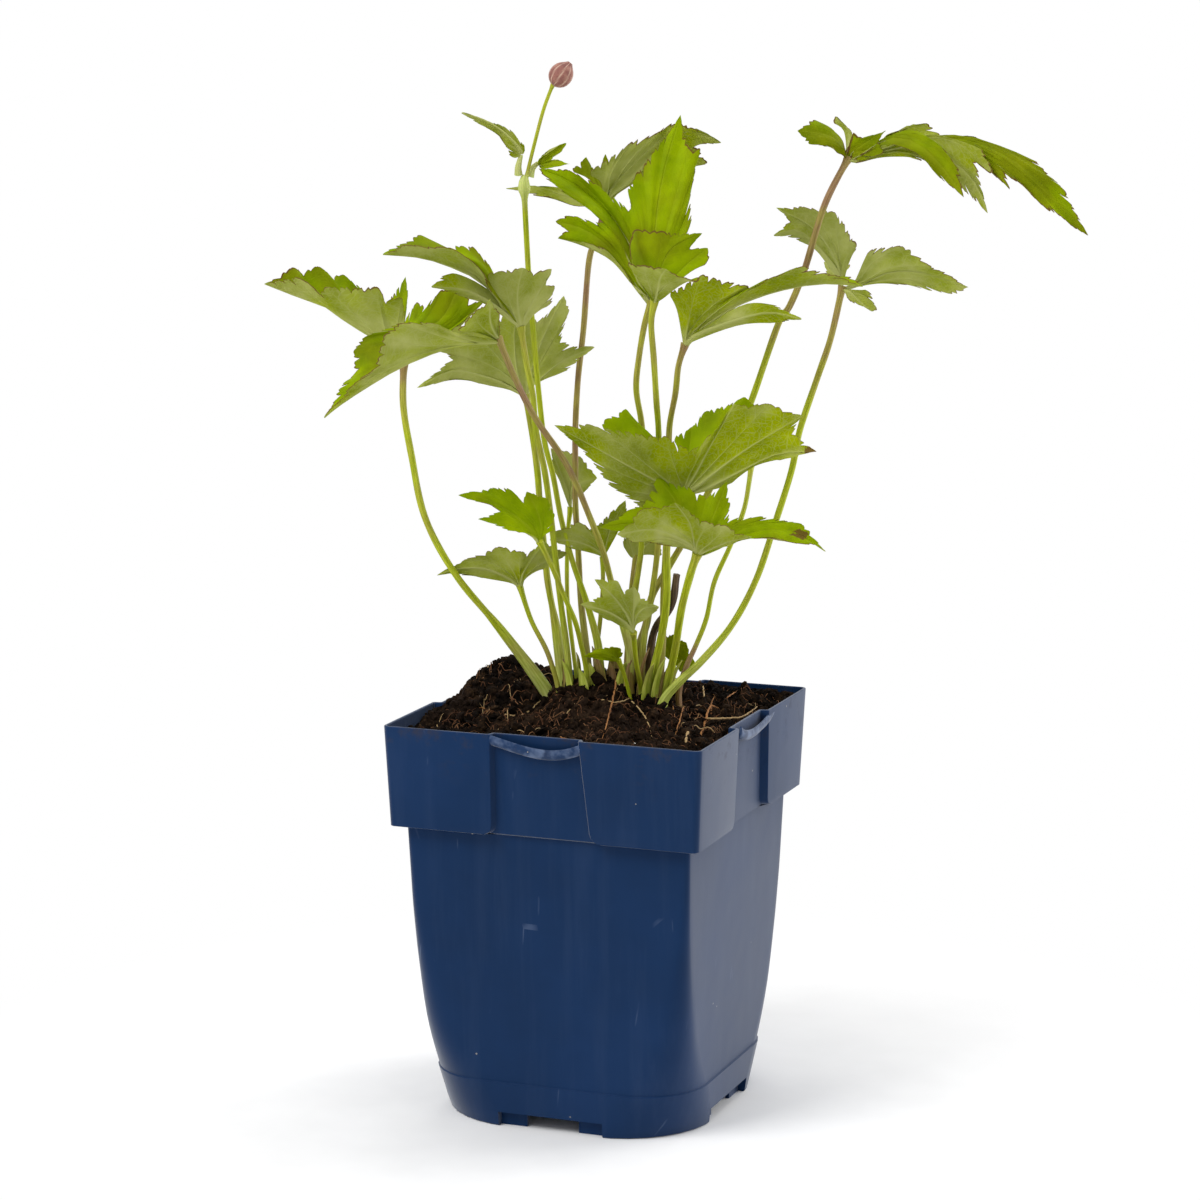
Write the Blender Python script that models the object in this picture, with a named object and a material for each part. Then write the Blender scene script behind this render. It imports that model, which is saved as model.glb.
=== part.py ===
"""Japanese anemone growing in a square nursery pot.

The pot stands on the XY plane with its middle on the Z axis, its front towards -Y and its right
side towards +X. The plant is laid out in its own upright frame, turned about Z from the pot's:
u runs across the clump, v runs to its back and z is up. All sizes below are in millimetres and
become metres when a mesh is made.
"""
import math

import bmesh
import bpy
import numpy as np

MM = 0.001

# The pot: a thin moulded square tub with a stepped collar.
RIM_WIDTH = 120.0
POT_HEIGHT = 146.4
COLLAR_FOOT_WIDTH = 116.8
COLLAR_FOOT = 109.7
WALL = 1.1
COLLAR_CORNER = 2.4
PANEL_DEPTH = 3.0
RECESS_LEFT = -18.0
RECESS_RIGHT_TOP = 14.0
RECESS_RIGHT_FOOT = 18.0
STEP_RUN = 1.0
FLOOR_UNDERSIDE = 5.4
FLOOR_TOP = 7.0
SKIRT_THICKNESS = 4.5
SUPPORT_PAD_RADIUS = 9.0
NOTCH_WIDTH = 40.0
NOTCH_DEPTH = 3.0
ARCH_WIDTH = 20.0
DRAIN_RADIUS = 4.0
DRAIN_OFFSET = 26.0
CORNER_STEPS = 4

# Body half widths and corner radii by height: the corners round off towards the foot.
BODY = [
    (0.0, 50.2, 34.0),
    (5.4, 50.5, 30.0),
    (16.6, 51.3, 25.0),
    (17.2, 50.9, 23.5),
    (27.0, 51.2, 17.0),
    (37.0, 51.5, 12.0),
    (47.0, 51.9, 9.5),
    (63.0, 52.4, 6.0),
    (80.0, 52.9, 3.5),
    (109.2, 53.7, 1.8),
]

# The peat fills the pot and is heaped up behind and to the left of the crown.
GAP = 0.35
PEAT_LEVEL = 142.0
CROWN_HEAP = (2.0, 8.0, 7.0, 28.0)
BACK_HEAP = (-34.0, 30.0, 15.0, 13.0)
SIDE_HEAP = (-52.0, 8.0, 5.0, 12.0)
FRONT_HEAP = (4.0, -52.0, 2.5, 22.0)
PEAT_RINGS = (1.0, 0.86, 0.7, 0.52, 0.34, 0.17)
HOLE_TOP = 160.0
HOLE_SIDES = 6

# The clump stands turned from the pot's sides.
CLUMP_TURN = math.radians(21.0)
STEM_SIDES = 6
BLADE_THICKNESS = 0.7
BRACT_THICKNESS = 0.5
HUB_RADIUS = 1.3
HUB_HALF_WIDTH = 0.45
HUB_SPREAD = math.radians(62.0)
LEAST_HALF_WIDTH = 0.6
MIDRIB_STEPS = 40
SWEEP = 0.7
STATIONS = (0.0, 0.1, 0.26, 0.42, 0.58, 0.74, 0.88)
BURIED = 8.0

PLASTIC = ("pot_plastic", "18376B", 0.42)
PEAT = ("peat", "2E2018", 0.95)
STALK = ("green_stalk", "A2AE3C", 0.5)
LEAF = ("leaf", "86A822", 0.5)
PALE = ("pale_bract", "C3CF8E", 0.6)
BUD = ("flower_bud", "8F5F5B", 0.7)
DEAD = ("dead_stalk", "5A4632", 0.8)


# ------------------------------------------------------------------ shared modelling tools
def clear_scene():
    for old in list(bpy.data.objects):
        bpy.data.objects.remove(old, do_unlink=True)


def colour(code):
    """Linear RGBA of an sRGB hex code."""
    channels = [int(code[i:i + 2], 16) / 255 for i in (0, 2, 4)]
    linear = [c / 12.92 if c <= 0.04045 else ((c + 0.055) / 1.055) ** 2.4 for c in channels]
    return (*linear, 1.0)


def material(spec):
    """The Principled material of a (name, colour, roughness) triple, made once."""
    name, code, roughness = spec
    found = bpy.data.materials.get(name)
    if found:
        return found
    made = bpy.data.materials.new(name)
    made.use_nodes = True
    shader = made.node_tree.nodes["Principled BSDF"]
    shader.inputs["Base Color"].default_value = colour(code)
    shader.inputs["Roughness"].default_value = roughness
    shader.inputs["Metallic"].default_value = 0.0
    return made


def make_object(name, points, faces, spec, smooth=True):
    """A mesh object from points in millimetres."""
    mesh = bpy.data.meshes.new(name)
    mesh.from_pydata([tuple(float(c) * MM for c in p) for p in points], [], faces)
    shape = bmesh.new()
    shape.from_mesh(mesh)
    bmesh.ops.triangulate(shape, faces=shape.faces)
    shape.to_mesh(mesh)
    shape.free()
    mesh.materials.append(material(spec))
    if smooth:
        mesh.shade_smooth()
        mesh.set_sharp_from_angle(angle=math.radians(35.0))
    made = bpy.data.objects.new(name, mesh)
    bpy.context.scene.collection.objects.link(made)
    return made


def cut(body, cutter, solver="EXACT"):
    """Take the cutter's shape out of the body."""
    cutter.hide_render = True
    cutter.display_type = "WIRE"
    tool = body.modifiers.new(cutter.name, "BOOLEAN")
    tool.operation = "DIFFERENCE"
    tool.solver = solver
    tool.object = cutter


def box(name, low, high, spec):
    """A closed block between two corners, in millimetres."""
    (x0, y0, z0), (x1, y1, z1) = low, high
    points = [(x, y, z) for z in (z0, z1) for x, y in ((x0, y0), (x1, y0), (x1, y1), (x0, y1))]
    faces = [(3, 2, 1, 0), (4, 5, 6, 7), (0, 1, 5, 4), (1, 2, 6, 5), (2, 3, 7, 6), (3, 0, 4, 7)]
    return make_object(name, points, faces, spec, smooth=False)


def to_pot(point):
    """A point of the clump's frame in the pot's frame."""
    u, v, z = point
    c, s = math.cos(CLUMP_TURN), math.sin(CLUMP_TURN)
    return np.array([u * c - v * s, u * s + v * c, z], float)


def unit(vector):
    return vector / max(np.linalg.norm(vector), 1e-9)


def smooth_path(knots, count):
    """Points spaced evenly in parameter along a Catmull-Rom curve through the knots."""
    knots = [np.array(k, float) for k in knots]
    padded = [2 * knots[0] - knots[1], *knots, 2 * knots[-1] - knots[-2]]
    lengths = [np.linalg.norm(b - a) for a, b in zip(knots, knots[1:])]
    reach = np.concatenate([[0.0], np.cumsum(lengths)])
    path = []
    for distance in np.linspace(0.0, reach[-1], count):
        i = min(int(np.searchsorted(reach, distance, side="right")) - 1, len(knots) - 2)
        t = (distance - reach[i]) / lengths[i]
        a, b, c, d = padded[i:i + 4]
        path.append(0.5 * (2 * b + (c - a) * t + (2 * a - 5 * b + 4 * c - d) * t ** 2
                           + (3 * b - a - 3 * c + d) * t ** 3))
    return path


def tube(name, path, radii, spec, sides=STEM_SIDES):
    """A closed stem along a path, its girth given at every point."""
    points, faces = [], []
    across = unit(np.cross(path[1] - path[0], (0.31, 0.95, 0.1)))
    for i, place in enumerate(path):
        along = unit(path[min(i + 1, len(path) - 1)] - path[max(i - 1, 0)])
        across = unit(across - np.dot(across, along) * along)
        other = np.cross(along, across)
        for k in range(sides):
            turn = 2 * math.pi * k / sides
            points.append(place + radii[i] * (math.cos(turn) * across + math.sin(turn) * other))
    for i in range(len(path) - 1):
        for k in range(sides):
            a, b = i * sides + k, i * sides + (k + 1) % sides
            faces.append((a, b, b + sides, a + sides))
    faces.append(tuple(reversed(range(sides))))
    faces.append(tuple(range(len(points) - sides, len(points))))
    return make_object(name, points, faces, spec)


# ------------------------------------------------------------------ pot
def body_section(z):
    """Half width and corner radius of the plain body at a height."""
    heights, halves, radii = zip(*BODY)
    return float(np.interp(z, heights, halves)), float(np.interp(z, heights, radii))


def collar_section(z):
    rise = (z - COLLAR_FOOT) / (POT_HEIGHT - COLLAR_FOOT)
    half = (COLLAR_FOOT_WIDTH + (RIM_WIDTH - COLLAR_FOOT_WIDTH) * rise) / 2
    return half, COLLAR_CORNER


def face_stations(z, half, radius, inset):
    """Places along one side with how far the wall is set back there."""
    end = half - radius
    drop = (POT_HEIGHT - z) / (POT_HEIGHT - COLLAR_FOOT)
    right = RECESS_RIGHT_TOP + (RECESS_RIGHT_FOOT - RECESS_RIGHT_TOP) * min(max(drop, 0.0), 1.0)
    set_back = PANEL_DEPTH if z >= COLLAR_FOOT - 0.01 else 0.0
    outer_share, inner_share = 0.88 * end, 0.78 * end
    return [
        (-end, 0.0),
        (max(RECESS_LEFT - STEP_RUN - inset, -outer_share), 0.0),
        (max(RECESS_LEFT - inset, -inner_share), set_back),
        (min(right + inset, inner_share), set_back),
        (min(right + STEP_RUN + inset, outer_share), 0.0),
        (end, 0.0),
    ]


def ring(z, section, inset, height=None):
    """The wall's outline at a level, offset inwards by inset, as points at a height."""
    half, radius = section
    half, radius = half - inset, max(radius - inset, 0.6)
    points = []
    for side in range(4):
        turn = side * math.pi / 2
        c, s = math.cos(turn), math.sin(turn)
        outline = [(x, -half + back) for x, back in face_stations(z, half, radius, inset)]
        for step in range(1, CORNER_STEPS):
            angle = -math.pi / 2 + step * math.pi / 2 / CORNER_STEPS
            outline.append((half - radius + radius * math.cos(angle),
                            -half + radius + radius * math.sin(angle)))
        points += [(x * c - y * s, x * s + y * c, z if height is None else height)
                   for x, y in outline]
    return points


def circle_like(outline, radius, z):
    """A circle with one point in the direction of each point of an outline."""
    return [(radius * x / math.hypot(x, y), radius * y / math.hypot(x, y), z)
            for x, y, _ in outline]


def loft(name, rings, spec, bottom, top):
    """A closed solid through a stack of rings, ended on a centre point at each end."""
    count = len(rings[0])
    points = [p for one in rings for p in one]
    faces = []
    for i in range(len(rings) - 1):
        for k in range(count):
            a, b = i * count + k, i * count + (k + 1) % count
            faces.append((a, b, b + count, a + count))
    points += [(0.0, 0.0, bottom), (0.0, 0.0, top)]
    first, last = len(points) - 2, len(points) - 1
    start = (len(rings) - 1) * count
    for k in range(count):
        faces.append((first, (k + 1) % count, k))
        faces.append((last, start + k, start + (k + 1) % count))
    return make_object(name, points, faces, spec)


def tunnel(name, rings, spec):
    """A closed solid through rings that come round to the first one again, like a thick tube."""
    count = len(rings[0])
    points = [p for one in rings for p in one]
    faces = []
    for i in range(len(rings)):
        low, high = i * count, (i + 1) % len(rings) * count
        for k in range(count):
            after = (k + 1) % count
            faces.append((low + k, low + after, high + after, high + k))
    return make_object(name, points, faces, spec)


def make_pot():
    """The tub's walls with their stepped collar and thick foot skirt, open below and above."""
    foot = body_section(0.0)
    rings = [ring(z, body_section(z), 0.0) for z, _, _ in BODY]
    rings += [ring(z, collar_section(z), 0.0) for z in (COLLAR_FOOT, POT_HEIGHT)]
    rings += [ring(z, collar_section(z), WALL) for z in (POT_HEIGHT, COLLAR_FOOT + WALL)]
    rings += [ring(z, body_section(z), WALL) for z in (109.2, 63.0, 37.0, FLOOR_TOP)]
    rings.append(ring(0.0, body_section(FLOOR_UNDERSIDE), WALL, FLOOR_UNDERSIDE))
    rings.append(ring(0.0, foot, SKIRT_THICKNESS, FLOOR_UNDERSIDE))
    rings.append(ring(0.0, foot, SKIRT_THICKNESS))
    pot = tunnel("pot", rings, PLASTIC)
    reach = foot[0]
    for side in range(4):
        turn = side * math.pi / 2
        notch = box(f"cut_notch_{side}", (-NOTCH_WIDTH / 2, -reach - 5.0, -1.0),
                    (NOTCH_WIDTH / 2, -reach + NOTCH_DEPTH, FLOOR_UNDERSIDE), PLASTIC)
        arch = box(f"cut_arch_{side}", (-ARCH_WIDTH / 2, -reach - 6.0, -1.5),
                   (ARCH_WIDTH / 2, -reach + SKIRT_THICKNESS + 1.0, FLOOR_UNDERSIDE - 0.4),
                   PLASTIC)
        for cutter in (notch, arch):
            cutter.rotation_euler = (0.0, 0.0, turn)
            cut(pot, cutter)
    return pot


def make_floor():
    """The tub's floor plate, lying on the skirt's ledge, with a drain hole towards each side."""
    half, radius = body_section(FLOOR_UNDERSIDE)
    section = (half - WALL - GAP, radius - WALL - GAP)
    low, high = FLOOR_UNDERSIDE + GAP, FLOOR_TOP
    rings = [ring(0.0, section, 0.0, z) for z in (low, high)]
    floor = loft("pot_floor", rings, PLASTIC, low, high)
    for side in range(4):
        drain = drain_cutter(f"cut_drain_{side}")
        drain.rotation_euler = (0.0, 0.0, side * math.pi / 2)
        cut(floor, drain)
    return floor


def make_floor_pad():
    """The round pad that holds up the middle of the floor."""
    outline = ring(0.0, body_section(0.0), 0.0)
    rings = [circle_like(outline, SUPPORT_PAD_RADIUS, z) for z in (0.0, FLOOR_UNDERSIDE)]
    return loft("pot_floor_pad", rings, PLASTIC, 0.0, FLOOR_UNDERSIDE)


def drain_cutter(name):
    """A round punch through the floor, forward of its middle."""
    mesh = bpy.data.meshes.new(name)
    shape = bmesh.new()
    bmesh.ops.create_cone(shape, cap_ends=True, segments=12, radius1=DRAIN_RADIUS * MM,
                          radius2=DRAIN_RADIUS * MM, depth=6.0 * MM)
    bmesh.ops.translate(shape, vec=(0.0, -DRAIN_OFFSET * MM, 6.2 * MM), verts=shape.verts)
    shape.to_mesh(mesh)
    shape.free()
    mesh.materials.append(material(PLASTIC))
    made = bpy.data.objects.new(name, mesh)
    bpy.context.scene.collection.objects.link(made)
    return made


# ------------------------------------------------------------------ peat
def peat_height(x, y):
    """Level of the peat's surface over the pot's plan."""
    c, s = math.cos(CLUMP_TURN), math.sin(CLUMP_TURN)
    u, v = x * c + y * s, y * c - x * s
    level = PEAT_LEVEL - 1.5 * max(u, 0.0) / 60.0
    for mid_u, mid_v, rise, spread in (CROWN_HEAP, BACK_HEAP, SIDE_HEAP, FRONT_HEAP):
        level += rise * math.exp(-((u - mid_u) ** 2 + (v - mid_v) ** 2) / (2 * spread ** 2))
    return level


def make_peat(stems):
    """The peat filling the pot, with a close hole around every stem."""
    rings = [ring(z, body_section(z), WALL + GAP) for z in (FLOOR_TOP + GAP, 37.0, 63.0, 109.2)]
    ledge = COLLAR_FOOT + WALL + GAP
    rings.append(ring(109.2, body_section(109.2), WALL + GAP, ledge))
    rings.append(ring(ledge, collar_section(ledge), WALL + GAP))
    brim = ring(PEAT_LEVEL, collar_section(PEAT_LEVEL), WALL + GAP)
    for scale in PEAT_RINGS:
        rings.append([(x * scale, y * scale, peat_height(x * scale, y * scale))
                      for x, y, _ in brim])
    peat = loft("potting_peat", rings, PEAT, FLOOR_TOP + GAP, peat_height(0.0, 0.0))
    for name, path, radii in stems:
        keep = min(1 + sum(p[2] < HOLE_TOP for p in path), len(path))
        start = path[0] - unit(path[1] - path[0]) * GAP
        wide = [(r + GAP) / math.cos(math.pi / HOLE_SIDES) for r in radii[:keep]]
        punch = tube("hole_" + name, [start, *path[1:keep]], wide, PEAT, sides=HOLE_SIDES)
        cut(peat, punch, "MANIFOLD")
    return peat


# ------------------------------------------------------------------ leaves
LEAVES = {
    "far_left": (
        [(-19, 9, 149), (-36, 3, 174), (-52, -2, 195), (-63, -2, 216), (-68, 3, 238), (-71, 8, 255),
         (-71, 12, 269)],
        (1.2, 2.0),
        [
            ([(-81, 14, 277), (-97, 18, 288), (-122, 14, 298)], (15, 15), (58, 58), (0, 0, 1), 2),
            ([(-61, 18, 279), (-42, 30, 291)], (13, 13), (45, 45), (0, 0, 1), 2),
            ([(-71, 24, 284), (-72, 40, 299)], (9, 9), (30, 30), (0, 0, 1), 1),
        ],
    ),
    "near_left": (
        [(10, 4, 151), (11, 3, 164), (8, 0, 178), (4, -4, 193), (1, -8, 205), (-4, -14, 219),
         (-9, -19, 232), (-14, -23, 242), (-23, -28, 256), (-30, -34, 271), (-35, -38, 284)],
        (1.1, 1.5),
        [
            ([(-54, -42, 283), (-70, -44, 277), (-83, -46, 269), (-96, -48, 259)],
             (14, 14), (50, 50), (0, 0, 1), 2),
            ([(-38, -41, 292), (-39, -39, 300)], (5, 12), (10, 10), (0, 1, 0.3), 1),
        ],
    ),
    "upper_left": (
        [(-11, 5, 151), (-12, 4, 166), (-14, 1, 182), (-16, -1, 200), (-18, -3, 219), (-20, -5, 234),
         (-23, -7, 249), (-24, -7, 261), (-26, -9, 272), (-28, -10, 285)],
        (1.1, 1.4),
        [
            ([(-41, -13, 297), (-52, -14, 306), (-66, -15, 311), (-76, -16, 313)],
             (6, 13), (10, 45), (0, -0.3, 1), 2),
            ([(-26, -13, 296), (-18, -15, 308)], (9, 14), (12, 12), (0, 1, 0.3), 2),
        ],
    ),
    "behind_left": (
        [(-13, 10, 150), (-16, 13, 172), (-19, 17, 188), (-20, 18, 197), (-22, 21, 217),
         (-23, 22, 230), (-25, 22, 245), (-27, 21, 257)],
        (1.2, 3.2),
        [
            ([(-38, 18, 262), (-48, 14, 265), (-58, 10, 264), (-65, 8, 261)],
             (14, 13), (60, 45), (0, 0, 1), 2),
            ([(-23, 20, 274), (-14, 18, 293)], (13, 15), (12, 12), (0, 1, 0.2), 2),
            ([(-15, 23, 265), (-2, 27, 274)], (10, 10), (25, 25), (0, 0.6, 0.8), 2),
        ],
    ),
    "tall_centre": (
        [(11, 10, 150), (11, 9, 173), (13, 8, 189), (15, 9, 203), (15, 9, 214), (16, 8, 232),
         (15, 6, 249), (13, 4, 262), (14, 2, 274), (16, 1, 286), (18, 0, 293)],
        (1.1, 1.4),
        [
            ([(11, -1, 308), (4, -1, 322), (-4, 2, 330), (-16, 8, 335), (-33, 13, 332)],
             (8, 9), (12, 12), (0, -0.7, 0.8), 2),
            ([(22, -1, 309), (24, -1, 325), (25, 1, 342), (29, 5, 360)],
             (14, 14), (12, 12), (0, -1, 0.15), 2),
            ([(8, -8, 310), (-4, -11, 318), (-16, -13, 322)], (9, 7), (10, 20), (0, -0.8, 0.7), 2),
        ],
    ),
    "centre_front": (
        [(15, 11, 150), (16, 9, 169), (19, 8, 187), (21, 5, 205), (21, 7, 215), (21, 5, 233),
         (21, -2, 247), (20, -11, 260), (19, -16, 275), (18, -19, 288), (20, -21, 294)],
        (1.1, 1.4),
        [
            ([(20, -31, 302), (20, -43, 310)], (11, 11), (15, 15), (0, 0.6, 0.8), 1),
            ([(28, -27, 305), (38, -30, 314)], (9, 9), (15, 15), (0, -0.9, 0.5), 2),
            ([(27, -22, 297), (36, -19, 305)], (5, 5), (15, 15), (0, -0.8, 0.6), 1),
        ],
    ),
    "tall_back": (
        [(-4, 14, 150), (-5, 12, 165), (-7, 12, 183), (-8, 13, 202), (-9, 15, 219), (-9, 16, 231),
         (-9, 17, 246), (-8, 20, 264), (-6, 23, 282), (-4, 29, 306), (-1, 30, 315), (2, 32, 326)],
        (1.1, 1.4),
        [
            ([(-4, 34, 332), (-10, 36, 339)], (6, 6), (30, 30), (0, 0, 1), 1),
            ([(2, 39, 335), (1, 48, 344)], (7, 7), (25, 25), (0, -0.3, 1), 1),
            ([(14, 29, 338), (23, 28, 347), (32, 30, 353), (45, 32, 348)],
             (11, 10), (45, 50), (0, 0, 1), 3),
            ([(20, 34, 333), (31, 36, 339), (40, 37, 341)], (5, 5), (15, 15), (0, -0.3, 1), 1),
        ],
    ),
    "centre_right": (
        [(22, 11, 151), (23, 10, 169), (23, 9, 184), (24, 10, 205), (25, 10, 218), (25, 9, 233),
         (25, 4, 248), (27, -1, 261), (28, -3, 271), (30, -4, 278)],
        (1.1, 1.4),
        [
            ([(33, 0, 290), (41, 10, 302)], (12, 12), (15, 15), (0, -0.8, 0.6), 2),
            ([(40, -6, 284), (50, -8, 289), (62, -10, 294), (76, -10, 301), (94, -10, 299)],
             (12, 12), (50, 50), (0, 0, 1), 3),
            ([(41, -12, 283), (53, -16, 288), (71, -18, 290)], (6, 6), (12, 12), (0, 0.8, 0.5), 2),
        ],
    ),
    "top_right": (
        [(13, 14, 150), (14, 14, 164), (17, 15, 174), (19, 16, 184), (25, 15, 195), (33, 15, 209),
         (40, 15, 224), (49, 15, 242), (55, 13, 257), (64, 7, 285), (68, 4, 292), (73, 2, 305),
         (80, 3, 328), (88, 4, 344)],
        (1.2, 1.6),
        [
            ([(82, 2, 348), (76, 0, 352), (70, -2, 355)], (6, 7), (10, 10), (0, -0.6, 1), 1),
            ([(90, 8, 352), (88, 12, 357), (83, 14, 359)], (3, 3), (20, 20), (1, 0.6, 0), 1),
            ([(97, 2, 346), (109, 0, 348), (122, -2, 349), (136, -4, 345), (148, -5, 338),
             (173, -6, 318)],
             (9, 17), (15, -45), (0, -0.4, 1), 4),
            ([(92, -4, 347), (99, -10, 355)], (7, 7), (15, 15), (0, -0.9, 0.6), 1),
        ],
    ),
    "far_right": (
        [(23, -4, 149), (29, -2, 156), (37, 1, 163), (48, 7, 175), (57, 12, 191), (64, 17, 211),
         (70, 20, 230), (73, 21, 245), (79, 23, 263), (84, 24, 278), (88, 25, 296)],
        (1.2, 1.8),
        [
            ([(84, 28, 305), (76, 31, 315), (64, 32, 325)], (12, 12), (15, 15), (0, 1, 0.4), 2),
            ([(86, 34, 299), (82, 44, 303)], (6, 6), (20, 20), (0, 0, 1), 1),
            ([(95, 24, 299), (107, 22, 303), (116, 20, 304), (133, 17, 297)],
             (11, 8), (20, 15), (0, 0.7, 0.7), 2),
            ([(93, 15, 294), (100, 8, 290)], (6, 6), (12, 12), (0, -0.3, 1), 1),
        ],
    ),
    "middle_big": (
        [(18, 6, 151), (22, 1, 171), (24, -4, 186), (24, -10, 208), (27, -13, 217), (30, -16, 227)],
        (1.4, 2.0),
        [
            ([(18, -18, 239), (2, -19, 248), (-16, -19, 252)], (15, 13), (8, 15), (0, -1, 0.5), 2),
            ([(35, -12, 240), (38, -8, 248), (40, -5, 254)], (8, 8), (15, 15), (0, -0.8, 0.6), 2),
            ([(41, -20, 231), (47, -23, 239), (55, -26, 250), (68, -28, 258)],
             (16, 15), (40, 40), (0, -0.1, 1), 2),
        ],
    ),
    "middle_front": (
        [(24, 4, 151), (27, -7, 168), (29, -21, 186), (32, -32, 201), (34, -36, 208)],
        (1.4, 2.0),
        [
            ([(29, -41, 216), (21, -46, 221), (11, -49, 220), (4, -48, 209)],
             (10, 10), (12, 12), (0, 1, 0.3), 2),
            ([(30, -36, 218), (27, -36, 226), (20, -35, 235)], (5, 6), (12, 12), (0, -1, 0.5), 1),
            ([(38, -35, 219), (45, -35, 232)], (6, 5), (12, 12), (0, -1, 0.5), 1),
            ([(43, -38, 214), (52, -40, 219), (65, -42, 217), (79, -42, 211)],
             (7, 7), (15, 15), (0, -0.6, 1), 2),
        ],
    ),
    "low_left_bright": (
        [(-5, 2, 151), (-5, -2, 160), (-7, -7, 171), (-9, -12, 180), (-13, -15, 190), (-17, -20, 201),
         (-21, -24, 210)],
        (0.9, 1.1),
        [
            ([(-30, -26, 219), (-39, -28, 226), (-49, -29, 229)], (10, 7), (8, 8), (0, -0.9, 1), 2),
            ([(-21, -23, 220), (-25, -22, 228)], (6, 8), (10, 10), (0, -0.9, 0.6), 1),
        ],
    ),
    "low_left": (
        [(-15, 3, 151), (-19, 4, 165), (-25, 5, 177), (-29, 6, 189)],
        (0.9, 1.2),
        [
            ([(-37, 8, 193), (-46, 13, 194), (-60, 16, 193)], (8, 11), (10, 25), (0, -0.35, 1), 2),
            ([(-24, 10, 195), (-19, 12, 199), (-13, 12, 202)], (6, 7), (5, 5), (0, -1, 0.4), 1),
        ],
    ),
    "small_front": (
        [(15, 1, 152), (13, -11, 165), (12, -22, 177)],
        (0.9, 1.2),
        [
            ([(4, -26, 183), (-7, -29, 189)], (6, 5), (15, 15), (0, 0.8, 0.6), 2),
            ([(7, -25, 189), (2, -26, 198)], (5, 4), (10, 10), (0, 1, 0.3), 2),
            ([(13, -25, 188), (14, -26, 196)], (3, 4), (10, 10), (0, 1, 0.3), 1),
            ([(18, -25, 183), (23, -26, 189)], (4, 5), (15, 15), (0, 0.8, 0.6), 2),
        ],
    ),
    "inner_left": (
        [(0, 12, 150), (-1, 9, 165), (0, 8, 176), (1, 7, 189), (1, 7, 199)],
        (0.8, 1.1),
        [
            ([(-4, 9, 204), (-11, 9, 206), (-17, 9, 206)], (6, 6), (5, 5), (0, -1, 0.2), 1),
            ([(5, 8, 208), (9, 9, 220)], (7, 7), (15, 15), (0, -0.6, 1), 1),
            ([(7, 2, 208), (14, 0, 218)], (6, 6), (15, 15), (0, -0.6, 1), 1),
        ],
    ),
    "inner_upper": (
        [(-8, 12, 150), (-10, 16, 165), (-12, 21, 183), (-12, 27, 203), (-11, 29, 214)],
        (0.8, 1.1),
        [
            ([(-19, 34, 231), (-28, 34, 243)], (4, 4), (15, 15), (0, -0.4, 1), 1),
            ([(-10, 31, 228), (-10, 32, 239)], (8, 7), (20, 20), (0, -0.6, 1), 2),
            ([(-5, 31, 223), (0, 32, 228)], (6, 6), (20, 20), (0, 0.2, 1), 1),
        ],
    ),
    "inner_back": (
        [(9, 15, 149), (10, 18, 167), (11, 21, 182), (12, 22, 191), (13, 23, 197)],
        (0.8, 1.0),
        [
            ([(10, 21, 201), (7, 20, 204)], (4, 4), (15, 15), (0, -0.3, 1), 1),
            ([(14, 26, 204), (15, 30, 211)], (7, 7), (15, 15), (0, -0.5, 1), 2),
            ([(18, 27, 199), (24, 32, 201)], (5, 5), (15, 15), (0, -0.3, 1), 1),
        ],
    ),
    "back_right": (
        [(29, 8, 151), (32, 10, 160), (35, 13, 166), (39, 15, 176), (42, 19, 189), (48, 23, 202),
         (53, 29, 214), (55, 34, 223), (56, 38, 229)],
        (0.9, 1.3),
        [
            ([(48, 42, 239), (36, 45, 245), (28, 47, 244)], (7, 7), (15, 15), (0, -0.5, 1), 2),
            ([(57, 44, 240), (59, 50, 250)], (8, 8), (15, 15), (0, -0.5, 1), 2),
            ([(63, 42, 236), (71, 48, 241)], (7, 7), (15, 15), (0, -0.3, 1), 1),
        ],
    ),
    "crown_bright": (
        [(11, -2, 149), (9, -4, 158), (7, -7, 164)],
        (0.7, 0.9),
        [
            ([(1, -10, 167), (-6, -12, 167)], (4, 4), (15, 15), (0, -0.5, 1), 1),
            ([(8, -9, 167), (11, -8, 169)], (4, 3), (15, 15), (0, -0.5, 1), 1),
        ],
    ),
    "crown_green": (
        [(27, 16, 149), (27, 18, 154), (27, 20, 159)],
        (0.8, 1.0),
        [
            ([(23, 20, 167), (19, 20, 174)], (5, 5), (15, 15), (0, -0.6, 0.8), 1),
            ([(31, 21, 166), (32, 21, 170)], (5, 5), (15, 15), (0, -0.6, 0.8), 1),
            ([(33, 17, 158), (37, 14, 155)], (5, 5), (15, 15), (0, -0.7, 0.8), 1),
        ],
    ),
}



def girths(path, top, base):
    """Stem radii along a path: even, then flared over the lowest quarter."""
    radii = []
    for i in range(len(path)):
        rise = i / (len(path) - 1)
        flare = max(0.0, 1.0 - rise / 0.3) ** 1.5
        radii.append(top + (base - top) * flare)
    return radii


def outline(t, lobes):
    """Half width of a leaflet along its midrib, as a share of its greatest."""
    ovate = math.sin(math.pi * t ** 0.85)
    if lobes > 1:
        ovate *= 1.0 - 0.22 * math.sin(math.pi * lobes * t) ** 2 * (t > 0.3)
    return ovate


def crosswise(axis):
    """Two directions square to an axis and to each other."""
    across = unit(np.cross(axis, (0.95, 0.3, 0.05)))
    return across, np.cross(axis, across)


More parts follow.
